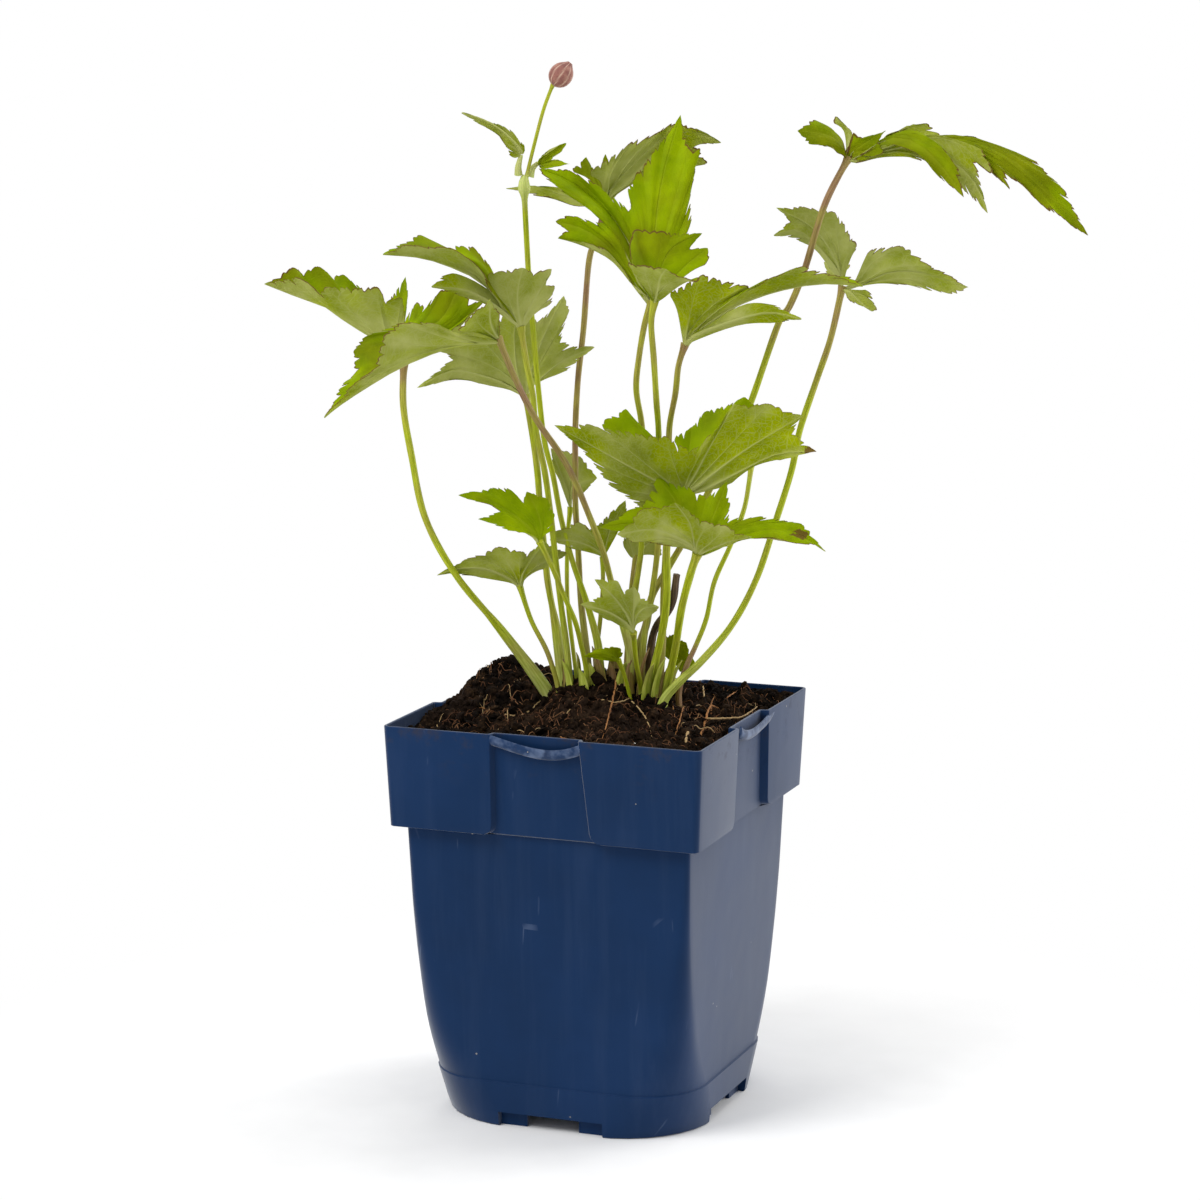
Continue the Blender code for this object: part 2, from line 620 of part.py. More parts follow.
def leaflet_rows(hub, axis, slot, spec):
    """Rows of (left, middle, right) points with their normals, from the hub to the tip."""
    knots, widths, folds, face, lobes = spec
    knots = [to_pot(k) for k in knots]
    face = unit(to_pot(face))
    across, other = crosswise(axis)
    out = math.cos(slot) * across + math.sin(slot) * other
    side = np.cross(out, axis)
    base = hub + out * HUB_RADIUS
    path = smooth_path([base, *knots], MIDRIB_STEPS + 1)
    length = sum(np.linalg.norm(b - a) for a, b in zip(path, path[1:]))
    rows = [[(base - side * HUB_HALF_WIDTH, axis), (base + out * 0.1, axis),
             (base + side * HUB_HALF_WIDTH, axis)]]

    def frame(t):
        i = min(max(int(round(t * MIDRIB_STEPS)), 1), MIDRIB_STEPS - 1)
        along = unit(path[i + 1] - path[i - 1])
        blend = min(t / 0.3, 1.0)
        up = unit((1 - blend) * axis + blend * face)
        up = unit(up - np.dot(up, along) * along)
        return along, up, np.cross(along, up)

    def place(t):
        x = min(max(t, 0.0), 1.0) * MIDRIB_STEPS
        i = min(int(x), MIDRIB_STEPS - 1)
        return path[i] + (path[i + 1] - path[i]) * (x - i)

    for t in STATIONS[1:]:
        _, up, right = frame(t)
        row = []
        for hand, width, fold in ((-1, widths[0], folds[0]), (1, widths[1], folds[1])):
            half = max(width * outline(t, lobes), LEAST_HALF_WIDTH)
            ahead = t + min(SWEEP * half / length, 0.6 * (1 - t)) * min(t / 0.25, 1.0)
            _, up_there, right_there = frame(ahead)
            lift = math.radians(fold)
            reach = hand * math.cos(lift) * right_there + math.sin(lift) * up_there
            normal = math.cos(lift) * up_there - hand * math.sin(lift) * right_there
            row.append((place(ahead) + reach * half, normal))
        row.insert(1, (place(t), up))
        rows.append(row)
    rows.append([(path[-1], frame(1.0)[1])])
    return rows


def spread_slots(angles, least):
    """Directions around the hub, pushed apart until none are closer than a least angle."""
    order = sorted(range(len(angles)), key=lambda i: angles[i])
    turned = [angles[i] for i in order]
    for _ in range(60):
        for k in range(len(turned)):
            nxt = (k + 1) % len(turned)
            gap = turned[nxt] - turned[k] + (2 * math.pi if nxt == 0 else 0.0)
            if len(turned) > 1 and gap < least:
                turned[k] -= (least - gap) / 2
                turned[nxt] += (least - gap) / 2
    return list(zip(order, turned))


def thicken(points, normals, faces, thickness):
    """Close a sheet into a thin solid by adding its underside and rim."""
    count = len(points)
    upper = [p + n * thickness / 2 for p, n in zip(points, normals)]
    lower = [p - n * thickness / 2 for p, n in zip(points, normals)]
    edges = {(f[i], f[(i + 1) % len(f)]) for f in faces for i in range(len(f))}
    solid = [tuple(f) for f in faces]
    solid += [tuple(count + i for i in reversed(f)) for f in faces]
    solid += [(b, a, count + a, count + b) for a, b in edges if (b, a) not in edges]
    return upper + lower, solid


def make_blade(name, hub, leaflets, spec, thickness=BLADE_THICKNESS):
    """One leaf blade: its leaflets spread from a small hub at the stalk's end."""
    faces_up = [unit(to_pot(leaflet[3])) for leaflet in leaflets]
    axis = unit(sum(faces_up))
    across, other = crosswise(axis)
    angles = []
    for leaflet in leaflets:
        away = to_pot(leaflet[0][0]) - hub
        angles.append(math.atan2(np.dot(away, other), np.dot(away, across)))
    points, normals, faces = [hub], [axis], []
    rim = []
    for index, slot in spread_slots(angles, HUB_SPREAD):
        rows = leaflet_rows(hub, axis, slot, leaflets[index])
        first = len(points)
        for row in rows:
            for point, normal in row:
                points.append(point)
                normals.append(normal)
        rim += [first + 2, first + 1, first]
        for r in range(len(rows) - 2):
            a = first + r * 3
            faces.append((a, a + 1, a + 4, a + 3))
            faces.append((a + 1, a + 2, a + 5, a + 4))
        last = first + (len(rows) - 2) * 3
        tip = len(points) - 1
        faces.append((last, last + 1, tip))
        faces.append((last + 1, last + 2, tip))
    for k in range(len(rim)):
        faces.append((0, rim[k], rim[(k + 1) % len(rim)]))
    solid_points, solid_faces = thicken(points, normals, faces, thickness)
    return make_object(name, solid_points, solid_faces, spec)


def make_leaf(name, stalk, girth, leaflets):
    """A leaf's stalk and its blade; the stalk stops just under the blade's hub."""
    knots = [to_pot(p) for p in stalk]
    hub = knots[-1]
    foot = knots[0] - np.array([0.0, 0.0, BURIED])
    top = hub - unit(hub - knots[-2]) * (BLADE_THICKNESS + 2 * GAP)
    path = smooth_path([foot, *knots[:-1], top], max(6, 2 + len(knots)))
    radii = girths(path, *girth)
    tube(f"leaf_{name}_stalk", path, radii, STALK)
    make_blade(f"leaf_{name}_blade", hub, leaflets, LEAF)
    return f"leaf_{name}", path, radii


# ------------------------------------------------------------------ flower shoot
FLOWER_STEM = [
    (1, 8, 151), (0, 6, 160), (-1, 3, 170), (-5, 1, 185), (-10, 0, 200), (-14, 2, 215), (-17, 3, 231),
    (-20, 4, 243), (-22, 5, 260), (-24, 5, 283), (-25, 4, 294), (-26, 3, 312), (-27, 2, 335),
]
PEDICEL_RADIUS = 0.9
PEDICEL = [(-26, 2, 339), (-23, 2, 351), (-20, 1, 362), (-17, 0, 370)]
BUD_BASE = (-16.6, 0.0, 370.6)
BUD_TIP = (-10.0, 0.0, 379.0)
BUD_PROFILE = [(0.0, 1.1), (0.08, 2.6), (0.25, 3.9), (0.45, 4.2), (0.65, 3.6), (0.82, 2.0), (0.93, 0.9)]
BRACT_LEFT = (
    [(-29, 2, 339), (-29, 1, 342), (-28, 1, 346)],
    (0.6, 0.8),
    [
        ([(-33, 0, 352), (-39, -2, 357), (-50, -4, 360)], (4, 4), (25, 25), (0, -0.4, 1), 2),
        ([(-27, -3, 348), (-25, -5, 349)], (2, 2), (15, 15), (0, -0.4, 1), 1),
    ],
)
BRACT_RIGHT = (
    [(-25, 5, 338), (-24, 5, 341), (-22, 5, 343)],
    (0.6, 0.8),
    [
        ([(-18, 5, 347), (-12, 4, 350)], (3, 3), (15, 15), (0, -0.6, 1), 2),
        ([(-17, 2, 344), (-10, 0, 345)], (2, 3), (15, 15), (0, -0.6, 1), 1),
    ],
)
CUT_STALK = [(18, 15, 150), (18, 15, 159), (20, 14, 172), (26, 13, 181), (28, 12, 193)]


def make_flower_shoot():
    """The stem with its swollen joint, the pedicel above it and the closed bud."""
    knots = [to_pot(p) for p in FLOWER_STEM]
    foot = knots[0] - np.array([0.0, 0.0, BURIED])
    path = smooth_path([foot, *knots], 16)
    radii = girths(path, 1.6, 2.2)
    radii[-1] = 2.3
    tube("flower_stem", path, radii, STALK)
    slim = smooth_path([to_pot(p) for p in PEDICEL], 6)
    tube("pedicel", slim, [PEDICEL_RADIUS] * len(slim), STALK)
    return "flower_stem", path, radii


def make_bud():
    """The closed bud: overlapping sepals drawn to a small beak."""
    base, tip = to_pot(BUD_BASE), to_pot(BUD_TIP)
    path = [base + (tip - base) * share for share, _ in BUD_PROFILE]
    return tube("flower_bud", path, [r for _, r in BUD_PROFILE], BUD, sides=10)


def make_bract(name, stalk, girth, leaflets):
    """A small stem leaf of the whorl under the pedicel."""
    knots = [to_pot(p) for p in stalk]
    top = knots[-1] - unit(knots[-1] - knots[-2]) * (BRACT_THICKNESS + 2 * GAP)
    path = smooth_path([*knots[:-1], top], 4)
    tube(f"{name}_stalk", path, [girth[0]] * len(path), PALE, sides=5)
    make_blade(f"{name}_blade", knots[-1], leaflets, LEAF, BRACT_THICKNESS)


def make_cut_stalk():
    """The dead stalk of a leaf that was cut away."""
    knots = [to_pot(p) for p in CUT_STALK]
    foot = knots[0] - np.array([0.0, 0.0, BURIED])
    path = smooth_path([foot, *knots], 6)
    radii = girths(path, 1.3, 1.5)
    tube("cut_stalk", path, radii, DEAD)
    return "cut_stalk", path, radii


clear_scene()
make_pot()
make_floor()
make_floor_pad()
planted = [make_leaf(name, *leaf) for name, leaf in LEAVES.items()]
planted.append(make_flower_shoot())
planted.append(make_cut_stalk())
make_bud()
make_bract("bract_left", *BRACT_LEFT)
make_bract("bract_right", *BRACT_RIGHT)
make_peat(planted)
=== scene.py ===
"""Looks of a potted Japanese anemone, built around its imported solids.

Lengths are millimetres until a mesh is made. The pot stands square to the X and Y axes with its
front towards -Y; the clump has its own upright frame (u across, v to the back, z up), turned
about Z from the pot's.
"""
import math
import random

import bmesh
import bpy
import numpy as np
from mathutils import Euler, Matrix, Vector, noise


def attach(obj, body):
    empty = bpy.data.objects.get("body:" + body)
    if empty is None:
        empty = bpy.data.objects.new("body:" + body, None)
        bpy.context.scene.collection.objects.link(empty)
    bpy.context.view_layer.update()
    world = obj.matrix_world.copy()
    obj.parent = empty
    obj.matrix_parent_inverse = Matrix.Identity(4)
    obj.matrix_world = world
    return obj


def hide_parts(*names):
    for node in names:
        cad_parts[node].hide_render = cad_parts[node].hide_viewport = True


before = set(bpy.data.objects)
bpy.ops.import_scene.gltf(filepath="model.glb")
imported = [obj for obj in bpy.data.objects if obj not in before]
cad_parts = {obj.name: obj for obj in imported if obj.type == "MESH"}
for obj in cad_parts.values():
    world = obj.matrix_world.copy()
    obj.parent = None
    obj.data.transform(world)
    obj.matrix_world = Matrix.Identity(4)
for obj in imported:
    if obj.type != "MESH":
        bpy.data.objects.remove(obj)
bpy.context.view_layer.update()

# -------------------- nursery pot
# A thin-walled square pot, injection moulded in dark blue polypropylene. The collar's corner
# panels stand proud of four recesses, the corners round off towards the foot, and the foot has
# a notch and an open arch on each side. Moulded PP gives a soft waxy gloss, dulled by dust.
MM = 0.001
RIM_WIDTH = 120.0
POT_HEIGHT = 146.4
COLLAR_FOOT_WIDTH = 116.8
COLLAR_FOOT = 109.7
COLLAR_CORNER = 2.4
WALL = 1.1
LEAST_RADIUS = 0.5
# The recess in each side of the collar, and the corner panels that stand proud of it.
RECESS_LEFT = -18.0
RECESS_RIGHT_TOP = 14.0
RECESS_RIGHT_FOOT = 18.0
PANEL_DEPTH = 3.0
PANEL_CORNER = 3.5
# The raised floor with its drain holes, and the skirt and pad that it stands on.
FLOOR_UNDERSIDE = 5.4
FLOOR_TOP = 7.0
DRAIN_RADIUS = 4.0
DRAIN_OFFSET = 26.0
SKIRT_THICKNESS = 4.5
SUPPORT_PAD_RADIUS = 9.0
NOTCH_WIDTH = 40.0
NOTCH_DEPTH = 3.0
ARCH_WIDTH = 20.0
# The body's levels, each with its half width and corner radius. Between the foot's step and the
# collar they are eased into each other.
BODY_TOP = 109.2
BODY = [
    (0.0, 50.2, 34.0), (5.4, 50.5, 30.0), (16.5, 51.5, 25.0), (16.9, 50.8, 23.6),
    (27.0, 51.2, 17.0), (37.0, 51.5, 12.0), (47.0, 51.9, 9.5), (63.0, 52.4, 6.0),
    (80.0, 52.9, 3.5), (BODY_TOP, 53.7, 1.8),
]
EASED_FROM, EASED_TO, EASING = 19.0, 107.0, 4.0
# The step into a recess: the run along the wall, and the share of the panel's depth.
STEP_PROFILE = ((-1.3, 0.0), (-0.85, 0.03), (-0.45, 0.25), (-0.1, 0.75), (0.2, 0.96), (0.6, 1.0))
STEP_END = STEP_PROFILE[-1][0]
RECESS_STATIONS = 8
# Levels of the rings that the walls are drawn through: foot, body, collar and inside.
FOOT_LEVELS = (0.4, 2.5, 5.4, 9.0, 13.0, 16.0, 16.5, 16.9, 17.3, 19.0, 22.0)
BODY_LEVELS = [min(25.0 + 3.0 * k, BODY_TOP) for k in range(29)]
COLLAR_RISES = (0.1, 0.8, 1.4, 2.2, 3.5, 8.0, 16.0, 24.0, 31.0, 35.0, 36.4)
INNER_COLLAR_LEVELS = (140.0, 125.0, COLLAR_FOOT + WALL)
INNER_BODY_LEVELS = (BODY_TOP, 90.0, 70.0, 50.0, 37.0, 27.0, 17.0, FLOOR_TOP)


def colour(code):
    """Linear RGBA of an sRGB hex code."""
    channels = [int(code[i:i + 2], 16) / 255 for i in (1, 3, 5)]
    linear = [c / 12.92 if c <= 0.04045 else ((c + 0.055) / 1.055) ** 2.4 for c in channels]
    return (*linear, 1.0)


def add(tree, kind, inputs=None, take=None, stops=None, **settings):
    """Add a shader node with its settings, feed its inputs, and return one of its outputs."""
    made = tree.nodes.new("ShaderNode" + kind)
    for name, value in settings.items():
        setattr(made, name, value)
    if stops:
        elements = made.color_ramp.elements
        while len(elements) < len(stops):
            elements.new(0.5)
        for element, (place, tint) in zip(elements, stops):
            element.position = place
            element.color = colour(tint) if isinstance(tint, str) else (tint, tint, tint, 1.0)
    for name, value in (inputs or {}).items():
        open_sockets = [s for s in made.inputs if s.enabled]
        socket = open_sockets[name] if isinstance(name, int) else next(
            s for s in open_sockets if s.name == name)
        if isinstance(value, bpy.types.NodeSocket):
            tree.links.new(value, socket)
        else:
            socket.default_value = colour(value) if isinstance(value, str) else value
    open_outputs = [s for s in made.outputs if s.enabled]
    return next((s for s in open_outputs if take in (None, s.name)), None)


def start_material(name):
    """A material with a new node tree, and the place on the piece that its patterns go by."""
    made = bpy.data.materials.new(name)
    made.use_nodes = True
    made.node_tree.nodes.clear()
    return made, made.node_tree, add(made.node_tree, "TexCoord", take="Object")


def add_object(name, data):
    """An object of the scene that holds a mesh, a lamp or a camera."""
    made = bpy.data.objects.new(name, data)
    bpy.context.scene.collection.objects.link(made)
    return made


def make_piece(name, points, faces, material, node=None, smooth_angle=40.0, marks=None):
    """A mesh piece from points in millimetres, standing for a solid of the frame."""
    mesh = bpy.data.meshes.new(name)
    scaled = np.asarray(points, float) * MM
    mesh.from_pydata(scaled.tolist(), [], [tuple(int(i) for i in f) for f in faces])
    for mark, values in (marks or {}).items():
        layer = mesh.attributes.new(mark, "FLOAT", "POINT")
        layer.data.foreach_set("value", np.asarray(values, np.float32))
    mesh.materials.append(material)
    mesh.shade_smooth()
    mesh.set_sharp_from_angle(angle=math.radians(smooth_angle))
    piece = add_object(name, mesh)
    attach(piece, "root")
    if node:
        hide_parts(node)
    return piece


def body_section(z):
    """The body's half width and corner radius at a level."""
    heights, halves, radii = zip(*BODY)
    blur = min(EASING, max(0.0, min(z - EASED_FROM, EASED_TO - z)))
    near = (z - blur, z, z, z + blur)
    return (float(np.mean(np.interp(near, heights, halves))),
            float(np.mean(np.interp(near, heights, radii))))


def collar_section(z):
    """The collar's half width and corner radius at a level."""
    rise = (z - COLLAR_FOOT) / (POT_HEIGHT - COLLAR_FOOT)
    return (COLLAR_FOOT_WIDTH + (RIM_WIDTH - COLLAR_FOOT_WIDTH) * rise) / 2, COLLAR_CORNER


def side_stations(z, half, radius, inset):
    """Places along one side from corner to corner, each with how far the wall is set back."""
    end = half - radius
    above = z - COLLAR_FOOT
    drop = min(max((POT_HEIGHT - z) / (POT_HEIGHT - COLLAR_FOOT), 0.0), 1.0)
    on_outside = inset < 0.9
    pull = 0.0
    if on_outside and 0.0 <= above < PANEL_CORNER:
        pull = PANEL_CORNER - math.sqrt(PANEL_CORNER ** 2 - (PANEL_CORNER - above) ** 2)
    left = RECESS_LEFT - inset - pull
    right = RECESS_RIGHT_TOP + (RECESS_RIGHT_FOOT - RECESS_RIGHT_TOP) * drop + inset + pull
    depth = PANEL_DEPTH if above > -0.4 else 0.0

    def limit(run):
        """The farthest that a station may stand from the middle, in order with the others."""
        return 0.86 * end - 0.03 * (run + 2) * end / 10

    stations = [(-end, 0.0), (-0.95 * end, 0.0)]
    stations += [(max(left + run, -limit(run)), share * depth) for run, share in STEP_PROFILE]
    low, high = stations[-1][0], min(right - STEP_END, limit(-STEP_END))
    stations += [(low + (high - low) * k / (RECESS_STATIONS + 1), depth)
                 for k in range(1, RECESS_STATIONS + 1)]
    stations += [(min(right - run, limit(run)), share * depth)
                 for run, share in reversed(STEP_PROFILE)]
    return stations + [(0.95 * end, 0.0), (end, 0.0)]


def turned(x, y, turn):
    """A place turned about the pot's axis."""
    c, s = math.cos(turn), math.sin(turn)
    return x * c - y * s, x * s + y * c


def wall_ring(z, section, inset, height=None, corner_steps=8):
    """The wall's outline at a level, offset inwards, as points at a height."""
    half, radius = section
    half, radius = half - inset, max(radius - inset, LEAST_RADIUS)
    points = []
    for side in range(4):
        outline = [(x, -half + back) for x, back in side_stations(z, half, radius, inset)]
        for step in range(1, corner_steps):
            angle = -math.pi / 2 + step * math.pi / 2 / corner_steps
            outline.append((half - radius + radius * math.cos(angle),
                            -half + radius + radius * math.sin(angle)))
        points += [(*turned(x, y, side * math.pi / 2), z if height is None else height)
                   for x, y in outline]
    return points


def round_ring(outline, radius, z):
    """A round outline at a level, with its points in line with those of another outline."""
    return [(radius * x / math.hypot(x, y), radius * y / math.hypot(x, y), z)
            for x, y, _ in outline]


def tube_faces(rings, sides):
    """Faces of a tube through rings of so many sides, open at both ends."""
    return [(i * sides + k, i * sides + (k + 1) % sides,
             (i + 1) * sides + (k + 1) % sides, (i + 1) * sides + k)
            for i in range(rings - 1) for k in range(sides)]


def loft_rings(rings, bottom, top):
    """Points and faces of a closed skin through rings, ended on a centre point each way."""
    count = len(rings[0])
    points = [p for one in rings for p in one]
    faces = tube_faces(len(rings), count)
    points += [(0.0, 0.0, bottom), (0.0, 0.0, top)]
    first, last = len(points) - 2, len(points) - 1
    start = (len(rings) - 1) * count
    for k in range(count):
        faces.append((first, (k + 1) % count, k))
        faces.append((last, start + k, start + (k + 1) % count))
    return points, faces


# Polypropylene: IOR about 1.49. The moulded skin is smooth but rubbed and dusty, so its gloss
# is broad; pale dust, hair scratches and dried splashes of compost lie over it. The blue itself
# drifts in clouds about 70 mm across.
plastic, tree, place = start_material("moulded_polypropylene_navy")
drift = add(tree, "TexNoise", {"Vector": place, "Scale": 14.0, "Detail": 4.0, "Roughness": 0.6})
navy = add(tree, "ValToRGB", {"Fac": drift},
           stops=[(0.3, "#062548"), (0.55, "#0A2A50"), (0.75, "#112F57")])
# Rain streaks and rubbed dust run down the walls, 9 mm wide and less.
down = add(tree, "Mapping", {"Vector": place, "Scale": (110.0, 110.0, 6.0)})
streaks = add(tree, "TexNoise", {"Vector": down, "Scale": 1.0, "Detail": 6.0, "Roughness": 0.65})
streak_mask = add(tree, "ValToRGB", {"Fac": streaks}, stops=[(0.5, 0.0), (0.8, 0.06)])
# Dust specks: one in forty of the 4 mm cells holds a speck about 0.7 mm across.
specks = add(tree, "TexVoronoi", {"Vector": place, "Scale": 250.0}, take="Distance")
chosen = add(tree, "TexVoronoi", {"Vector": place, "Scale": 250.0}, take="Color")
chosen = add(tree, "SeparateColor", {0: chosen}, take="Red")
chosen = add(tree, "Math", {0: chosen, 1: 0.975}, operation="GREATER_THAN")
near = add(tree, "Math", {0: specks, 1: 0.09}, operation="LESS_THAN")
speck = add(tree, "Math", {0: chosen, 1: near}, operation="MULTIPLY")
# Fine scratches: edges of cells 17 mm wide and 70 mm long, let through in 18 mm patches.
slant = add(tree, "Mapping", {"Vector": place, "Scale": (60.0, 60.0, 14.0),
                              "Rotation": (0.5, 0.3, 0.2)})
cells = add(tree, "TexVoronoi", {"Vector": slant, "Scale": 1.0}, feature="DISTANCE_TO_EDGE")
hairline = add(tree, "Math", {0: cells, 1: 0.012}, operation="LESS_THAN")
patches = add(tree, "TexNoise", {"Vector": place, "Scale": 55.0, "Detail": 2.0})
patches = add(tree, "ValToRGB", {"Fac": patches}, stops=[(0.62, 0.0), (0.75, 0.25)])
scratch = add(tree, "Math", {0: hairline, 1: patches}, operation="MULTIPLY")
# Wet compost has dried in 8 mm smears on the top 20 mm of the collar.
height = add(tree, "SeparateXYZ", {0: place}, take="Z")
rim_band = add(tree, "MapRange", {0: height, 1: 0.126, 2: 0.147})
smear = add(tree, "TexNoise", {"Vector": place, "Scale": 120.0, "Detail": 5.0, "Roughness": 0.7})
smear = add(tree, "ValToRGB", {"Fac": smear}, stops=[(0.55, 0.0), (0.72, 0.55)])
smear = add(tree, "Math", {0: smear, 1: rim_band}, operation="MULTIPLY")
# The rim's lips are crumpled and scuffed pale, in spots about 4 mm across.
scuffed = add(tree, "Attribute", take="Fac", attribute_name="scuffed")
scuff = add(tree, "TexNoise", {"Vector": place, "Scale": 260.0, "Detail": 4.0})
scuff = add(tree, "MapRange", {0: scuff, 1: 0.42, 2: 0.68, 3: 0.05, 4: 0.6})
scuff = add(tree, "Math", {0: scuff, 1: scuffed}, operation="MULTIPLY")
tint = navy
for mask, code in ((streak_mask, "#6A7890"), (speck, "#8E8A84"), (scratch, "#7C8BA8"),
                   (smear, "#3C3532"), (scuff, "#6E7E9C")):
    tint = add(tree, "Mix", {"Factor": mask, "A": tint, "B": code}, data_type="RGBA")
# Dried compost is matt. The skin has a 1 mm grain over a slow ripple of about 33 mm.
gloss = add(tree, "MapRange", {0: drift, 1: 0.3, 2: 0.75, 3: 0.36, 4: 0.5})
gloss = add(tree, "Math", {0: gloss, 1: smear}, operation="ADD", use_clamp=True)
grain = add(tree, "TexNoise", {"Vector": place, "Scale": 900.0, "Detail": 3.0})
ripple = add(tree, "TexNoise", {"Vector": place, "Scale": 30.0, "Detail": 2.0})
relief = add(tree, "Bump", {"Height": ripple, "Strength": 0.25, "Distance": 0.0012})
relief = add(tree, "Bump", {"Height": grain, "Strength": 0.1, "Distance": 0.0001,
                            "Normal": relief})
relief = add(tree, "Bump", {"Height": scratch, "Strength": 0.3, "Distance": 0.0001,
                            "Normal": relief})
shade = add(tree, "BsdfPrincipled", {"Base Color": tint, "Roughness": gloss, "Normal": relief,
                                     "IOR": 1.49, "Specular IOR Level": 0.07,
                                     "Sheen Weight": 0.34, "Sheen Roughness": 0.42})
add(tree, "OutputMaterial", {"Surface": shade})


def punch(body, name, low, high, turn, sides=4):
    """Cut a block or a round hole through a wall, turned about the pot's axis."""
    bm = bmesh.new()
    if sides == 4:
        bmesh.ops.create_cube(bm, size=1.0)
    else:
        bmesh.ops.create_cone(bm, cap_ends=True, segments=sides, radius1=0.5, radius2=0.5,
                              depth=1.0)
    size = np.subtract(high, low) * MM
    bmesh.ops.scale(bm, vec=size, verts=bm.verts)
    bmesh.ops.translate(bm, vec=(np.add(low, high) / 2 * MM), verts=bm.verts)
    mesh = bpy.data.meshes.new(name)
    bm.to_mesh(mesh)
    bm.free()
    cutter = add_object(name, mesh)
    cutter.rotation_euler = (0.0, 0.0, turn)
    tool = body.modifiers.new(name, "BOOLEAN")
    tool.operation = "DIFFERENCE"
    tool.object = cutter
    return cutter


foot = body_section(0.0)
under = wall_ring(0.0, foot, SKIRT_THICKNESS)
rings = [round_ring(under, SUPPORT_PAD_RADIUS, 0.0),
         round_ring(under, SUPPORT_PAD_RADIUS, FLOOR_UNDERSIDE),
         wall_ring(0.0, foot, SKIRT_THICKNESS, FLOOR_UNDERSIDE), under, wall_ring(0.0, foot, 0.5)]
rings += [wall_ring(z, body_section(z), 0.0) for z in (*FOOT_LEVELS, *BODY_LEVELS)]
rings.append(wall_ring(COLLAR_FOOT, collar_section(COLLAR_FOOT), 0.15))
rings += [wall_ring(COLLAR_FOOT + rise, collar_section(COLLAR_FOOT + rise), 0.0)
          for rise in COLLAR_RISES]
rim = collar_section(POT_HEIGHT)
rings += [wall_ring(POT_HEIGHT, rim, 0.2, POT_HEIGHT - 0.06), wall_ring(POT_HEIGHT, rim, 0.45),
          wall_ring(POT_HEIGHT, rim, WALL - 0.3), wall_ring(POT_HEIGHT - 0.3, rim, WALL)]
rings += [wall_ring(z, collar_section(z), WALL) for z in INNER_COLLAR_LEVELS]
rings += [wall_ring(z, body_section(z), WALL) for z in INNER_BODY_LEVELS]
points, faces = loft_rings(rings, 0.0, FLOOR_TOP)
pot = make_piece("pot_moulding", points, faces, plastic, "pot", smooth_angle=32.0)
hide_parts("pot_floor", "pot_floor_pad")
face_y = -foot[0]
cutters = []
for side in range(4):
    turn = side * math.pi / 2
    cutters += [
        punch(pot, f"notch_{side}", (-NOTCH_WIDTH / 2, face_y - 5.0, -1.0),
              (NOTCH_WIDTH / 2, face_y + NOTCH_DEPTH, FLOOR_UNDERSIDE), turn),
        punch(pot, f"arch_{side}", (-ARCH_WIDTH / 2, face_y - 6.0, -1.5),
              (ARCH_WIDTH / 2, face_y + SKIRT_THICKNESS + 1.0, FLOOR_UNDERSIDE - 0.4), turn),
        punch(pot, f"drain_{side}", (-DRAIN_RADIUS, -DRAIN_OFFSET - DRAIN_RADIUS, 3.0),
              (DRAIN_RADIUS, -DRAIN_OFFSET + DRAIN_RADIUS, 9.0), turn, 24),
    ]


def apply_modifiers(piece):
    """Bake a piece's modifiers into its mesh."""
    evaluated = piece.evaluated_get(bpy.context.evaluated_depsgraph_get())
    baked = bpy.data.meshes.new_from_object(evaluated)
    piece.modifiers.clear()
    piece.data = baked


apply_modifiers(pot)
for cutter in cutters:
    bpy.data.objects.remove(cutter, do_unlink=True)

# -------------------- rim lips
# The rim's outer flange runs on across each recess as a thin curled lip of the same plastic,
# pulled down and out of line where the pot was lifted, with a narrow gutter behind it.
LIP_SECTION = ((0.0, -2.9), (-0.25, -1.6), (0.0, -0.25), (0.3, 0.0), (0.75, -0.3), (0.7, -2.3),
               (1.4, -3.0), (3.3, -3.3), (3.3, -4.1), (0.9, -3.8))
LIP_OUTSET = RIM_WIDTH / 2 - 0.55
LIP_STEPS = 36
# Each lip: its side, where it starts and ends, its sag, and the share of its run where it sags
# the most.
LIPS = ((0, -20.5, 17.0, 4.0, 0.62), (1, -15.0, 22.0, 3.4, 0.4), (2, -19.5, 16.0, 2.6, 0.5),
        (3, -19.5, 16.5, 3.2, 0.35))
points, faces = [], []
for side, start, end, sag, lowest in LIPS:
    first, n = len(points), len(LIP_SECTION)
    for i in range(LIP_STEPS + 1):
        t = i / LIP_STEPS
        x = start + (end - start) * t
        bend = math.sin(math.pi * t ** (math.log(0.5) / math.log(lowest))) ** 0.8
        z0 = POT_HEIGHT + 0.05 - sag * bend
        bulge = 0.5 * math.sin(math.pi * t) + 0.2 * math.sin(7.0 * t + side)
        for y, z in LIP_SECTION:
            outer = LIP_OUTSET + (bulge if y < 1.0 else 0.0) - y
            points.append((*turned(x, -outer, side * math.pi / 2), min(z0 + z, POT_HEIGHT)))
    for i in range(LIP_STEPS):
        for k in range(n):
            a, b = first + i * n + k, first + i * n + (k + 1) % n
            faces.append((a, a + n, b + n, b))
    faces.append(tuple(first + k for k in range(n)))
    faces.append(tuple(first + LIP_STEPS * n + k for k in reversed(range(n))))
make_piece("pot_rim_lips", points, faces, plastic,
           marks={"scuffed": [1.0] * len(points)})


# -------------------- leaf stalks
# Living leaf stalks, 2 to 3 mm thick, round with faint ribs, each widening into a pale sheath
# where it leaves the crown, pushed towards white on the broadest sheaths as a painted highlight.
# Their skin is satin green, flushed brown on the older leaves.
CLUMP_TURN = math.radians(21.0)
STALK_SIDES = 16
RIB_COUNT = 5
BURIED = np.array([0.0, 0.0, 8.0])
SHEATH_SHARE = 0.28
# The broadest sheaths: their full pale is partly their own colour and partly a painted highlight.
SHEATHED = ("behind_left", "far_left", "near_left")
